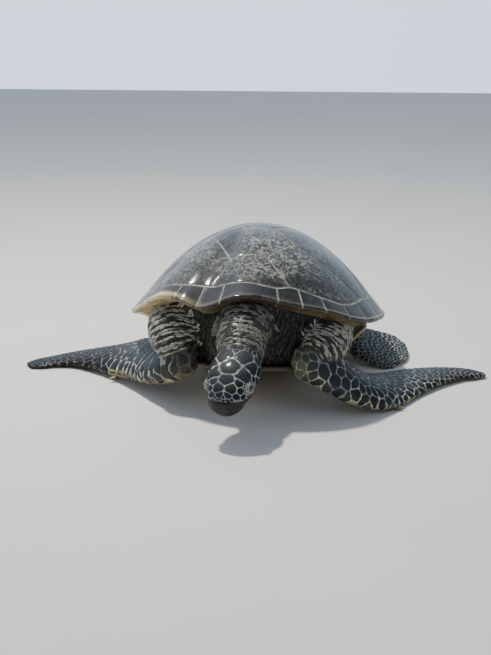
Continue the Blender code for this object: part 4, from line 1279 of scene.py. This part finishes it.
def coatRules():
    # per skin vertex: scale size, stretch along the limb, half extents allowed, direction, gap, and where none grow
    count = len(skinPoints)
    size = np.full(count, coat["trunk"])
    stretch = np.full(count, 1.0)
    cap = np.full((count, 2), 0.05)
    way = samples.way[skinFound].copy()
    elbow, toe = coat["elbow"], coat["toe"]
    for side, scale, broad in (("left", 1.0, 1.12), ("right", 1.3, 1.42)):
        chest = isPiece(skinPiece, "trunk") & ((skinPoints[:, 0] > 0) == (side == "left"))
        way[chest] = skinPoints[chest] - shoulders[side]
        blade, arm, hind = (isPiece(skinPiece, name + side) for name in ("blade_", "arm_", "hind_"))
        share = np.clip(skinAlong[blade] / 0.70, 0, 1)
        sizes = (elbow * 0.6, elbow, coat["bladeMiddle"], toe * 1.5, toe)
        size[blade] = np.interp(share, (0, 0.12, 0.5, 0.85, 1), sizes) * scale
        stretch[blade] = np.interp(share, (0, 0.1, 0.4, 0.7, 1), (1.1, broad, broad, 1.0, 0.9))
        size[arm] = np.interp(skinAlong[arm], (0.10, 0.22), (0.0085, 0.0105))
        size[hind] = np.interp(skinAlong[hind], (0.05, 0.16, 0.25, 0.36), (0.014, 0.021, 0.016, toe))
        stretch[hind] = 1.08
    for name in ("neck", "tail"):
        size[isPiece(skinPiece, name)] = coat[name]
    face, arms = isPiece(skinPiece, "head"), isPiece(skinPiece, "arm_left", "arm_right")
    local = toHead(skinPoints)
    size[face] = np.interp(local[face, 1], (0.0, 0.05, 0.12), (0.0105, 0.010, 0.0075))
    size[face & (local[:, 2] < -0.02)] = 0.0085
    folded = skinMarks["folded"]
    wrinkled = (folded > 0.5) & ~face
    stretch[wrinkled] = np.where(arms, 1.75, 1.55)[wrinkled]
    cap[wrinkled] = (0.0046, 0.0095)
    cap[wrinkled & arms] = (0.0034, 0.0115)
    gap = np.where(wrinkled, coat["foldGap"], np.where(face, coat["headGap"], coat["gap"]))
    # none grow in the furrows, in the shell, or where the crown's plates are
    bare = wrinkled & (skinMarks["ridge"] < 0.62) & (folded > 0.75)
    _, reach, angle, low = shellDepthOf(skinPoints)
    bare |= (reach < lipReach(angle) - 0.03) & (low > lipHeight(angle) - 0.004)
    bare |= (reach < plastronReach(angle) - 0.04) & (low < 0.012 + 0.03 * bridgeShare(angle))
    bare |= isPiece(skinPiece, "trunk") & ((skinAlong < 3.9) | (skinAlong > 8.2))
    fromCrown = np.degrees(np.arctan2(np.abs(local[:, 0]), local[:, 2]))
    plated = face & (fromCrown < np.interp(local[:, 1], (0.084, 0.104), (112, 88)))
    plated &= (local[:, 1] > 0.012) & (local[:, 1] < 0.160)
    # seeds that keep a place empty: the eyes' openings, the nostrils and the beak
    dummy = face & onBeak(local, -0.001)
    for sign in (-1, 1):
        centre, axis, fore, upper = eyeFrame(sign)
        away = skinPoints - centre
        span = np.linalg.norm(away, axis=1)
        tilt = np.arccos(np.clip(away @ axis / span, -1, 1))
        bearing = np.arctan2(away @ upper, away @ fore)
        near = span < 0.034
        size[near] = np.minimum(size[near], 0.0048 + 0.004 * smoothStep(0.020, 0.034, span[near]))
        plated &= span > 0.0265
        dummy |= (span < 0.024) & (tilt < lidOpening(bearing) + 0.03)
        dummy |= np.linalg.norm(skinPoints - fromHead(onSide("nostril", sign)), axis=1) < 0.005
    return size, stretch, cap, way, gap, bare | (plated & ~dummy), dummy


def onBeak(local, margin):
    rise = local[:, 2] + head["mouthDrop"]
    brow = rise - (local[:, 1] - head["beakBack"]) * math.tan(head["browSlope"]) < -margin
    mouth = rise > (local[:, 1] - head["mouthBack"]) * math.tan(head["mouthSlope"])
    jaw = local[:, 1] - head["beakBack"] + rise * head["jawRun"] > margin
    return (mouth & brow & (local[:, 1] > head["mouthBack"])) | (~mouth & jaw)


class Thrown:
    # seeds accepted so far, in a coarse grid
    def __init__(self, cell=0.02):
        self.cell, self.grid, self.rows = cell, {}, []

    def key(self, spot):
        return tuple(int(math.floor(c / self.cell)) for c in spot)

    def near(self, spot):
        x, y, z = self.key(spot)
        found = []
        for step in np.ndindex(3, 3, 3):
            found += self.grid.get((x + step[0] - 1, y + step[1] - 1, z + step[2] - 1), ())
        return found

    def add(self, spot, normal, size, way, stretch, vertex, kind):
        self.grid.setdefault(self.key(spot), []).append(len(self.rows))
        self.rows.append((spot, normal, size, way, stretch, vertex, kind))

    def columns(self, rows=None):
        picked = self.rows if rows is None else [self.rows[k] for k in rows]
        return [np.array(column) for column in zip(*picked)]


def treeOf(points):
    tree = kdtree.KDTree(len(points))
    for number, point in enumerate(points):
        tree.insert(point, number)
    tree.balance()
    return tree


def unit(vector):
    return vector / max(np.linalg.norm(vector), 1e-9)


def throwSeeds():
    # kinds of seed: 0 keeps a place empty, 1 is placed one by one, 2 is thrown
    size, stretch, cap, way, gap, bare, dummy = coatRules()
    thrown = Thrown()
    vertexTree = treeOf(skinPoints)

    def place(spot, plateSize, kind):
        found, _, face, _ = skinTree.find_nearest(Vector(spot))
        vertex = vertexTree.find(found)[1]
        thrown.add(np.array(found), faceNormals[face], plateSize, way[vertex], 1.0, vertex, kind)

    for along, turn, plateSize in coat["plates"]:
        for sign in ((1,) if turn == 0 else (-1, 1)):
            place(fromHead(headShape(np.array(along), np.radians(turn) * sign)), plateSize, 1)
    for sign in (-1, 1):
        centre, axis, fore, upper = eyeFrame(sign)
        for k in range(18):
            bearing = 2 * np.pi * (k + 0.5) / 18
            for shift, kind, reach in ((0.17, 1, 0.0055), (-0.12, 0, 0.0048)):
                tilt = lidOpening(bearing) + shift
                ray = axis * math.cos(tilt) + (fore * math.cos(bearing) + upper * math.sin(bearing)) * math.sin(tilt)
                place(centre + ray * (head["eyeRadius"] + 0.002), reach, kind)
    rolls = np.random.default_rng(coat["seed"])
    corners = skinPoints[skinFaces]
    areas = np.linalg.norm(np.cross(corners[:, 1] - corners[:, 0], corners[:, 2] - corners[:, 0]), axis=1) / 2
    weight = np.where(bare[skinFaces].all(1), 0, areas / size[skinFaces].mean(1) ** 2)
    count = int(weight.sum() * coat["throws"])
    picked = rolls.choice(len(skinFaces), count, p=weight / weight.sum())
    share = rolls.random((count, 2))
    share[share.sum(1) > 1] = 1 - share[share.sum(1) > 1]
    share = np.column_stack([1 - share.sum(1), share])
    spots = (corners[picked] * share[..., None]).sum(1)
    vertices = skinFaces[picked, share.argmax(1)]
    for number, vertex in enumerate(vertices):
        if bare[vertex]:
            continue
        spot, normal, reach = spots[number], faceNormals[picked[number]], size[vertex]
        others = thrown.near(spot)
        if others:
            there, facing, sizes, _, _, _, kinds = thrown.columns(others)
            span = there - spot
            lengthwise = span @ unit(way[vertex] - normal * (way[vertex] @ normal))
            across = np.sqrt(np.maximum((span**2).sum(1) - lengthwise**2, 0))
            far = np.hypot(lengthwise * stretch[vertex], across / stretch[vertex])
            need = coat["apart"] * (sizes + reach) * np.where(kinds == 1, coat["round"], 1.0)
            if ((far < need) & (facing @ normal > -0.2)).any():
                continue
        thrown.add(spot, normal, reach, way[vertex], stretch[vertex], vertex, 0 if dummy[vertex] else 2)
    print("seeds", len(thrown.rows), "of", count)
    return thrown, cap, gap


def clipCell(cell, normal, offset):
    kept = []
    side = cell @ normal - offset
    for k in range(len(cell)):
        a, b, sa, sb = cell[k - 1], cell[k], side[k - 1], side[k]
        if (sa > 0) != (sb > 0):
            kept.append(a + (b - a) * (sa / (sa - sb)))
        if sb <= 0:
            kept.append(b)
    return np.array(kept)


def growScales(thrown, cap, gap):
    # each seed's cell in its own plane, cut back from its neighbours by half the gap
    spot, normal, size, ways, stretch, vertex, kind = thrown.columns()
    ways = ways - normal * (ways * normal).sum(1, keepdims=True)
    ways /= np.maximum(np.linalg.norm(ways, axis=1, keepdims=True), 1e-9)
    sides = np.cross(normal, ways)
    tree = treeOf(spot)
    circle = roundTurns(12)
    grown = {}
    for i in np.nonzero(kind)[0]:
        squeeze = (stretch[i], 1 / stretch[i])
        reach = np.minimum(cap[vertex[i]], size[i] * 0.95 * np.array([1.0, stretch[i]]))
        if kind[i] == 1:
            reach = np.full(2, size[i] * 1.1)
        cell = np.column_stack([np.cos(circle) * reach[0] * stretch[i], np.sin(circle) * reach[1] / stretch[i]])
        plate = kind[i] == 1 and size[i] > coat["largeFrom"]
        near = tree.find_range(spot[i], size[i] * 2.2) if plate else tree.find_n(spot[i], 19)
        near = np.array([n for _, n, _ in near])
        near = near[near != i]
        facing = normal[near] @ normal[i]
        near, facing = near[facing > -0.2], facing[facing > -0.2]
        span = spot[near] - spot[i]
        bend = np.arccos(np.clip(facing, -1, 1)) / 2
        arc = np.linalg.norm(span, axis=1) * np.where(bend > 0.05, bend / np.maximum(np.sin(bend), 1e-6), 1)
        flat = np.column_stack([span @ ways[i], span @ sides[i]])
        flat *= (arc / np.maximum(np.linalg.norm(flat, axis=1), 1e-9))[:, None]
        flat = flat * squeeze
        length = np.linalg.norm(flat, axis=1)
        space = gap[vertex[i]] / 2 * length / np.maximum(arc, 1e-9)
        offsets = length * (size[i] / (size[i] + size[near])) - space
        for k in np.argsort(offsets):
            if offsets[k] > reach.max() * 2 or len(cell) < 3:
                break
            cell = clipCell(cell, flat[k] / length[k], offsets[k])
        if len(cell) < 3:
            continue
        cell = cell / squeeze
        cell = cell[np.linalg.norm(cell - np.roll(cell, 1, 0), axis=1) > 0.0006]
        if len(cell) < 3:
            continue
        after = np.roll(cell, -1, 0)
        loop = np.stack([cell * 0.80 + after * 0.20, cell * 0.20 + after * 0.80], 1).reshape(-1, 2)
        if abs(twiceArea(loop)) / 2 >= coat["least"]:
            grown[i] = loop
    print("scales", len(grown))
    return spot, normal, size, vertex, ways, sides, grown


def scaleMesh(place, normal, way, side, loop, size):
    # rings laid on the skin by walking out from the root, then raised: crown, shoulder, edge, and a sunken foot
    form = coat["large" if size > coat["largeFrom"] else "small"]
    rise = coat["rise"] * (1.0 if size > coat["largeFrom"] else coat["smallRise"])
    rings = [[] for _ in form["shares"]]
    foot = []
    for u, v in loop:
        away = way * u + side * v
        length = np.linalg.norm(away)
        ray = away / length
        spot, last = place, 0.0
        for ring, share, height in zip(rings, form["shares"], form["heights"]):
            found, _, face, _ = skinTree.find_nearest(Vector(spot + ray * length * (share - last)))
            up = faceNormals[face]
            spot, last = np.array(found), share
            ray = unit(ray - up * (ray @ up))
            ring.append(spot + up * (rise * height))
        foot.append(spot - up * coat["foot"])
    points = np.concatenate([[place + normal * rise * 1.04], *rings, foot, [place - normal * coat["root"]]])
    count, last = len(loop), 1 + len(rings) * len(loop)
    faces = []
    for k in range(count):
        j = (k + 1) % count
        faces.append((0, 1 + k, 1 + j))
        faces += [(a + k, a + count + k, a + count + j, a + j) for a in range(1, last, count)]
        faces.append((last + j, last + k, last + count))
    # in the unwrap each ring is a small loop round the root's own place
    ring = loop / np.abs(loop).max() * coat["patch"]
    patch = np.concatenate([[(0, 0)], *[ring * share for share in (*form["shares"], 1.0)], [(0, 0)]])
    return points, faces, patch, [1.0, *np.repeat((*form["middle"], 0.0), count), 0.0]


def layScales():
    spot, normal, size, vertex, ways, sides, grown = growScales(*throwSeeds())
    cells = unwrapAt(skinPiece[vertex], skinAlong[vertex], samples.turn[skinFound[vertex]])
    store = {}
    rolls = np.random.default_rng(9)
    names = list(pieceId)
    for i, loop in grown.items():
        points, faces, patch, middle = scaleMesh(spot[i], normal[i], ways[i], sides[i], loop, size[i])
        tone, root = [rolls.random()] * len(points), [vertex[i]] * len(points)
        group = store.setdefault(coat["groups"][names[skinPiece[vertex[i]]]], [])
        group.append((points, faces, cells[i] + patch, middle, tone, root))
    made = []
    for name, scales in store.items():
        points, faces = joinMeshes([scale[:2] for scale in scales])
        uv, middle, tone, root = (np.concatenate(column) for column in list(zip(*scales))[2:])
        floats = {"tone": tone, "middle": middle}
        floats.update({key: skinMarks[key][root] for key in ("olive", "brown", "under", "crest", "sooty")})
        made.append(newPiece(name + "Scales", restOnFloor(points), faces, finish["scaleKeratin"], floats, uv=uv))
        print(name, "scales:", sum(len(face) - 2 for face in faces), "triangles")
    return made


print("scales")
scalePieces = layScales()
for piece in scalePieces:
    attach(piece, "root")

# Beads of thick skin along the crests of the folds, on the neck and the upper arms.

beads = {"apart": 0.0042, "size": 0.0015, "long": 1.5, "flat": 0.6, "proud": 0.0012, "seed": 8,
         "density": 120000.0, "sizes": (0.6, 1.2), "corners": 12}  # of the icosphere that makes one bead


def beadTree():
    tree = bpy.data.node_groups.new("foldBeads", "GeometryNodeTree")
    kinds = {"Geometry": "Geometry", "Apart": "Float", "Size": "Float", "Proud": "Float", "Seed": "Int"}
    sockets = {name: tree.interface.new_socket(name, in_out="INPUT", socket_type="NodeSocket" + kind).identifier
               for name, kind in kinds.items()}
    tree.interface.new_socket("Geometry", in_out="OUTPUT", socket_type="NodeSocketGeometry")
    entry = addNode(tree, "NodeGroupInput", {}).outputs
    seed = {"Seed": entry["Seed"]}
    crowned = addNode(tree, "GeometryNodeInputNamedAttribute", {"Name": "crowned"})
    thrown = addNode(tree, "GeometryNodeDistributePointsOnFaces", {
        "distribute_method": "POISSON", "Mesh": entry["Geometry"], "Distance Min": entry["Apart"],
        "Density Max": beads["density"], "Density Factor": crowned, **seed}).outputs
    lift = addNode(tree, "ShaderNodeVectorMath", {"operation": "SCALE", 0: thrown["Normal"], "Scale": entry["Proud"]})
    points = addNode(tree, "GeometryNodeSetPosition", {"Geometry": thrown["Points"], "Offset": lift})
    shade = addNode(tree, "FunctionNodeRandomValue", {"data_type": "FLOAT", **seed})
    points = addNode(tree, "GeometryNodeStoreNamedAttribute", {"Geometry": points, "Name": "tone", "Value": shade})
    fold = addNode(tree, "GeometryNodeInputNamedAttribute", {"data_type": "FLOAT_VECTOR", "Name": "foldWay"})
    turned = addNode(tree, "FunctionNodeAlignRotationToVector", {
        "axis": "X", "pivot_axis": "Z", "Vector": fold, "Rotation": thrown["Rotation"]})
    bead = addNode(tree, "GeometryNodeMeshIcoSphere", {"Radius": 1.0, "Subdivisions": 1}).outputs["Mesh"]
    bead = addNode(tree, "GeometryNodeTransform", {"Geometry": bead, "Scale": (beads["long"], 1.0, beads["flat"])})
    least, most = beads["sizes"]
    some = addNode(tree, "FunctionNodeRandomValue", {"data_type": "FLOAT", 2: least, 3: most, **seed})
    scale = addNode(tree, mathNode, {"operation": "MULTIPLY", 0: some, 1: entry["Size"]})
    placed = addNode(tree, "GeometryNodeInstanceOnPoints", {
        "Points": points, "Instance": bead, "Rotation": turned, "Scale": scale})
    solid = addNode(tree, "GeometryNodeRealizeInstances", {"Geometry": placed})
    horn = addNode(tree, "GeometryNodeSetMaterial", {"Geometry": solid, "Material": finish["scaleKeratin"]})
    addNode(tree, "NodeGroupOutput", {"Geometry": horn})
    return tree, sockets


def layBeads():
    mesh = skin.data.copy()
    folded = isPiece(skinPiece, "neck", "arm_left", "arm_right")
    depth, _, angle, low = shellDepthOf(skinPoints)
    seen = smoothStep(0.002, 0.010, depth) * (low < lipHeight(angle) + 0.01)
    crowned = folded * seen * skinMarks["folded"] * smoothStep(0.66, 0.90, skinMarks["ridge"])
    addMarks(mesh, {"crowned": crowned}, {"foldWay": np.cross(samples.way[skinFound], vertexNormals)})
    piece = linkPiece("foldBeads", mesh)
    tree, sockets = beadTree()
    modifier = piece.modifiers.new("beads", "NODES")
    modifier.node_group = tree
    for name in ("Apart", "Size", "Proud", "Seed"):
        modifier[sockets[name]] = beads[name.lower()]
    evaluated(piece)
    corners = beads["corners"]
    found = samples.find(verticesOf(piece.data).reshape(-1, corners, 3).mean(1))
    root = unwrapAt(samples.piece[found], samples.along[found], samples.turn[found])
    turns = roundTurns(corners)
    patch = coat["patch"] * np.stack([np.cos(turns), np.sin(turns)], -1)
    addUnwrap(piece.data, (root[:, None] + patch).reshape(-1, 2))
    piece.data.shade_smooth()
    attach(piece, "root")
    print("fold beads:", len(found), "beads,", len(piece.data.polygons), "triangles")


def thinSkin():
    # under its scales the skin can be coarser than the mesh that carried them, except on the head
    triangles = sum(len(face.vertices) - 2 for face in skin.data.polygons)
    thinOut(skin, ~isPiece(skinPiece, "head"), skinSpec["triangles"] / triangles)
    moveTo(skin.data, restOnFloor(verticesOf(skin.data)))
    skin.data.shade_smooth()
    print("skin triangles", sum(len(face.vertices) - 2 for face in skin.data.polygons), "of", triangles)


layBeads()
thinSkin()
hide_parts("head", "neck", "trunk", "tail", "front_arm_left", "front_arm_right", "front_flipper_left",
            "front_flipper_right", "hind_flipper_left", "hind_flipper_right")
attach(skin, "root")

# Horn of the jaws, claws and eyes.

horn = {"upperProud": 0.0011, "lowerProud": 0.0002, "mouthGap": 0.0008, "beakStart": 0.045, "clawLength": 0.030,
        "clawRadius": 0.0065, "clawLift": 0.002, "clawBend": 0.0022, "clawSag": 0.0016}


def turnOutward(mesh):
    bm = bmesh.new()
    bm.from_mesh(mesh)
    bmesh.ops.recalc_face_normals(bm, faces=bm.faces)
    bm.to_mesh(mesh)
    bm.free()


def beakPart(name, proud, cuts):
    # the snout's own form, a little proud of the skin, cut by the planes that bound this jaw
    back = horn["beakStart"]
    alongs = np.concatenate([np.linspace(back, 0.150, 50), 0.15 + 0.03 * np.sin(np.linspace(0, np.pi / 2, 36)[1:])])
    turns = roundTurns(120)
    rings = []
    for along in alongs:
        ring = headShape(np.full(len(turns), along), turns)
        outward = (ring - (0, 0, snoutHeight(along))) * (1, 0, 1)
        outward /= np.linalg.norm(outward, axis=1, keepdims=True)
        rings.append(ring + outward * proud + (0, proud * smoothStep(0.16, 0.18, along), 0))
    tip = np.array((0, alongs[-1] + 0.0002 + proud, head["snoutTip"]))
    points, faces = closedRings(rings, np.array((0, back, 0)), tip)
    bm = bmesh.new()
    made = [bm.verts.new(p) for p in points]
    for face in faces:
        bm.faces.new([made[i] for i in face])
    for spot, normal in cuts:
        everything = bm.verts[:] + bm.edges[:] + bm.faces[:]
        cut = bmesh.ops.bisect_plane(bm, geom=everything, plane_co=spot, plane_no=normal, clear_outer=True)
        bmesh.ops.holes_fill(bm, edges=[e for e in cut["geom_cut"] if isinstance(e, bmesh.types.BMEdge)])
    bmesh.ops.recalc_face_normals(bm, faces=bm.faces)
    bmesh.ops.triangulate(bm, faces=[f for f in bm.faces if len(f.verts) > 4])
    local = np.array([tuple(v.co) for v in bm.verts])
    bm.transform(headFrame)
    mesh = bpy.data.meshes.new(name)
    bm.to_mesh(mesh)
    bm.free()
    rise = local[:, 2] + head["mouthDrop"] - (local[:, 1] - head["mouthBack"]) * math.tan(head["mouthSlope"])
    addMarks(mesh, {"worn": smoothStep(0.0045, 0.0, np.abs(rise)) * smoothStep(0.08, 0.13, local[:, 1])})
    mesh.shade_smooth()
    mesh.set_sharp_from_angle(angle=math.radians(48))
    mesh.materials.append(finish["beakHorn"])
    return linkPiece(name, mesh)


def beakCuts():
    # (point, outward normal) of the planes in the head's own frame
    drop, slope, gap = -head["mouthDrop"], head["mouthSlope"], horn["mouthGap"] / 2
    mouth = [((0, head["mouthBack"], drop + gap * side), (0, math.sin(slope) * side, -math.cos(slope) * side))
             for side in (1, -1)]
    brow = ((0, head["beakBack"], drop), (0, -math.sin(head["browSlope"]), math.cos(head["browSlope"])))
    back = ((0, head["mouthBack"] + 0.004, drop), (0, -1, 0))
    jaw = ((0, head["beakBack"], drop), (0, -1, -head["jawRun"]))
    return [mouth[0], brow, back], [mouth[1], jaw]


def makeClaw(name, stations, index):
    # on the leading edge of a flipper at one of its stations, level, bent a little outward and down
    centre, chord, half, _ = stations[index]
    onward = (Vector(stations[index + 1][0]) - Vector(centre)).normalized()
    chord = Vector(chord)
    chord = (chord - onward * chord.dot(onward)).normalized()
    way = (chord + onward * 0.5).normalized()
    length, radius, bend, sag = (horn[key] for key in ("clawLength", "clawRadius", "clawBend", "clawSag"))
    root = Vector(centre) + chord * (half - length * 0.1) + way * length * 0.4
    root.z = max(root.z, radius + horn["clawLift"])
    way.z = 0.0
    way.normalize()
    side = Vector((-way.y, way.x, 0))
    sides = 20
    rings, worn = [], []
    for share in np.linspace(0, 1, 14):
        wide = radius * (1 - share**1.6) ** 0.75 * (0.97 - 0.1 * share) + 0.0007
        middle = root + way * (length * (share - 0.5)) + side * bend * (share * share - 0.3)
        middle.z -= sag * share * share
        rings.append(np.array([
            tuple(middle + side * wide * 0.86 * math.cos(turn) + Vector((0, 0, wide * 0.98 * math.sin(turn))))
            for turn in roundTurns(sides)]))
        worn += [share**1.5] * sides
    start, end = root - way * length * 0.5, root + way * length * 0.495 + side * bend * 0.7
    end.z -= sag
    points, faces = closedRings(rings, np.array(start), np.array(end))
    faces = [face[::-1] for face in faces]
    made = newPiece(name, points, faces, finish["clawHorn"], {"worn": [*worn, 0.0, 1.0]})
    turnOutward(made.data)
    return made


def makeEye(name, sign):
    centre, axis, fore, upper = eyeFrame(sign)
    rings, out = [], []
    radius, cornea = head["eyeRadius"], 0.0006
    turns = roundTurns(64)
    circle = np.cos(turns)[:, None] * fore + np.sin(turns)[:, None] * upper
    for tilt in np.linspace(0.03, math.pi - 0.03, 48):
        bulge = radius + cornea * math.exp(-((tilt / 0.5) ** 2))
        rings.append(centre + bulge * (math.cos(tilt) * axis + math.sin(tilt) * circle))
        out += [tilt / (math.pi / 2)] * len(turns)
    points, faces = closedRings(rings, centre + axis * (radius + cornea), centre - axis * radius)
    made = newPiece(name, points, faces, finish["wetEye"], {"fromPupil": [*out, 0.0, 2.0]})
    turnOutward(made.data)
    return made


print("beak, claws and eyes")
upperCuts, lowerCuts = beakCuts()
for name, proud, cuts in (("beak_upper", horn["upperProud"], upperCuts),
                          ("beak_lower", horn["lowerProud"], lowerCuts)):
    made = beakPart(name + "_horn", proud, cuts)
    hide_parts(name)
    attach(made, "root")
for side in ("left", "right"):
    for kind, limb, index in (("front", "blade_", 5), ("hind", "hind_", 3)):
        made = makeClaw(kind + "_claw_horn_" + side, flesh[limb + side], index)
        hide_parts(kind + "_claw_" + side)
        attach(made, "root")
    made = makeEye("eyeball_" + side, -1 if side == "left" else 1)
    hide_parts("eye_" + side)
    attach(made, "root")

# Studio: a pale floor, soft lights and the camera.

studio = {
    "floor": 14.0, "sky": "#bfcfe4", "skyStrength": 0.60, "skyBehind": 2.6,
    "camera": (0.2364, -3.7193, 1.2001), "bearing": math.radians(4.5), "dip": math.radians(17), "lens": 69.25,
    "lights": (  # name, place, target, size, power, colour
        ("keyLight", (-1.0, 0.25, 3.3), (0, -0.35, 0.15), 0.22, 200, "#fffcf6"),
        ("fillLight", (2.4, -3.2, 2.4), (0, -0.3, 0.15), 2.4, 22, "#dce8ff"),
        ("frontLight", (-1.6, -3.4, 1.5), (0, -0.5, 0.15), 2.0, 15, "#f2f5ff"),
    ),
}


def makeStudio():
    half = studio["floor"] / 2
    corners = [(-half, -half, 0), (half, -half, 0), (half, half, 0), (-half, half, 0)]
    newPiece("floor", corners, [(0, 1, 2, 3)], finish["paleFloor"])
    world = bpy.data.worlds.new("studioAir")
    world.use_nodes = True
    tree = world.node_tree
    tree.nodes["Background"].inputs["Color"].default_value = linear(studio["sky"])
    # the air is brighter behind the turtle, toward its right, for a sheen over the top of the shell
    way = addNode(tree, "ShaderNodeTexCoord", {}).outputs["Generated"]
    behind = addNode(tree, "ShaderNodeVectorMath", {"operation": "DOT_PRODUCT", 0: way, 1: (-0.45, 0.89, 0.0)})
    glow = addNode(tree, stepNode, {"interpolation_type": "SMOOTHSTEP", 0: behind, 1: 0.1, 2: 1.0,
                                    3: studio["skyStrength"], 4: studio["skyBehind"]})
    tree.links.new(glow.outputs[0], tree.nodes["Background"].inputs["Strength"])
    bpy.context.scene.world = world
    for name, place, target, size, power, colour in studio["lights"]:
        data = bpy.data.lights.new(name, "AREA")
        data.shape, data.size, data.energy, data.color = "DISK", size, power, linear(colour)[:3]
        light = bpy.data.objects.new(name, data)
        bpy.context.scene.collection.objects.link(light)
        light.location = place
        light.rotation_euler = (Vector(target) - Vector(place)).to_track_quat("-Z", "Y").to_euler()
        light.visible_glossy = name == "keyLight"  # the others leave no glare on the wet shell
    lens = bpy.data.cameras.new("camera")
    lens.sensor_fit = "AUTO"
    lens.sensor_width = 36.0
    lens.lens = studio["lens"]
    camera = bpy.data.objects.new("camera", lens)
    bpy.context.scene.collection.objects.link(camera)
    camera.location = studio["camera"]
    camera.rotation_euler = (math.pi / 2 - studio["dip"], 0.0, studio["bearing"])
    bpy.context.scene.camera = camera


print("studio")
makeStudio()
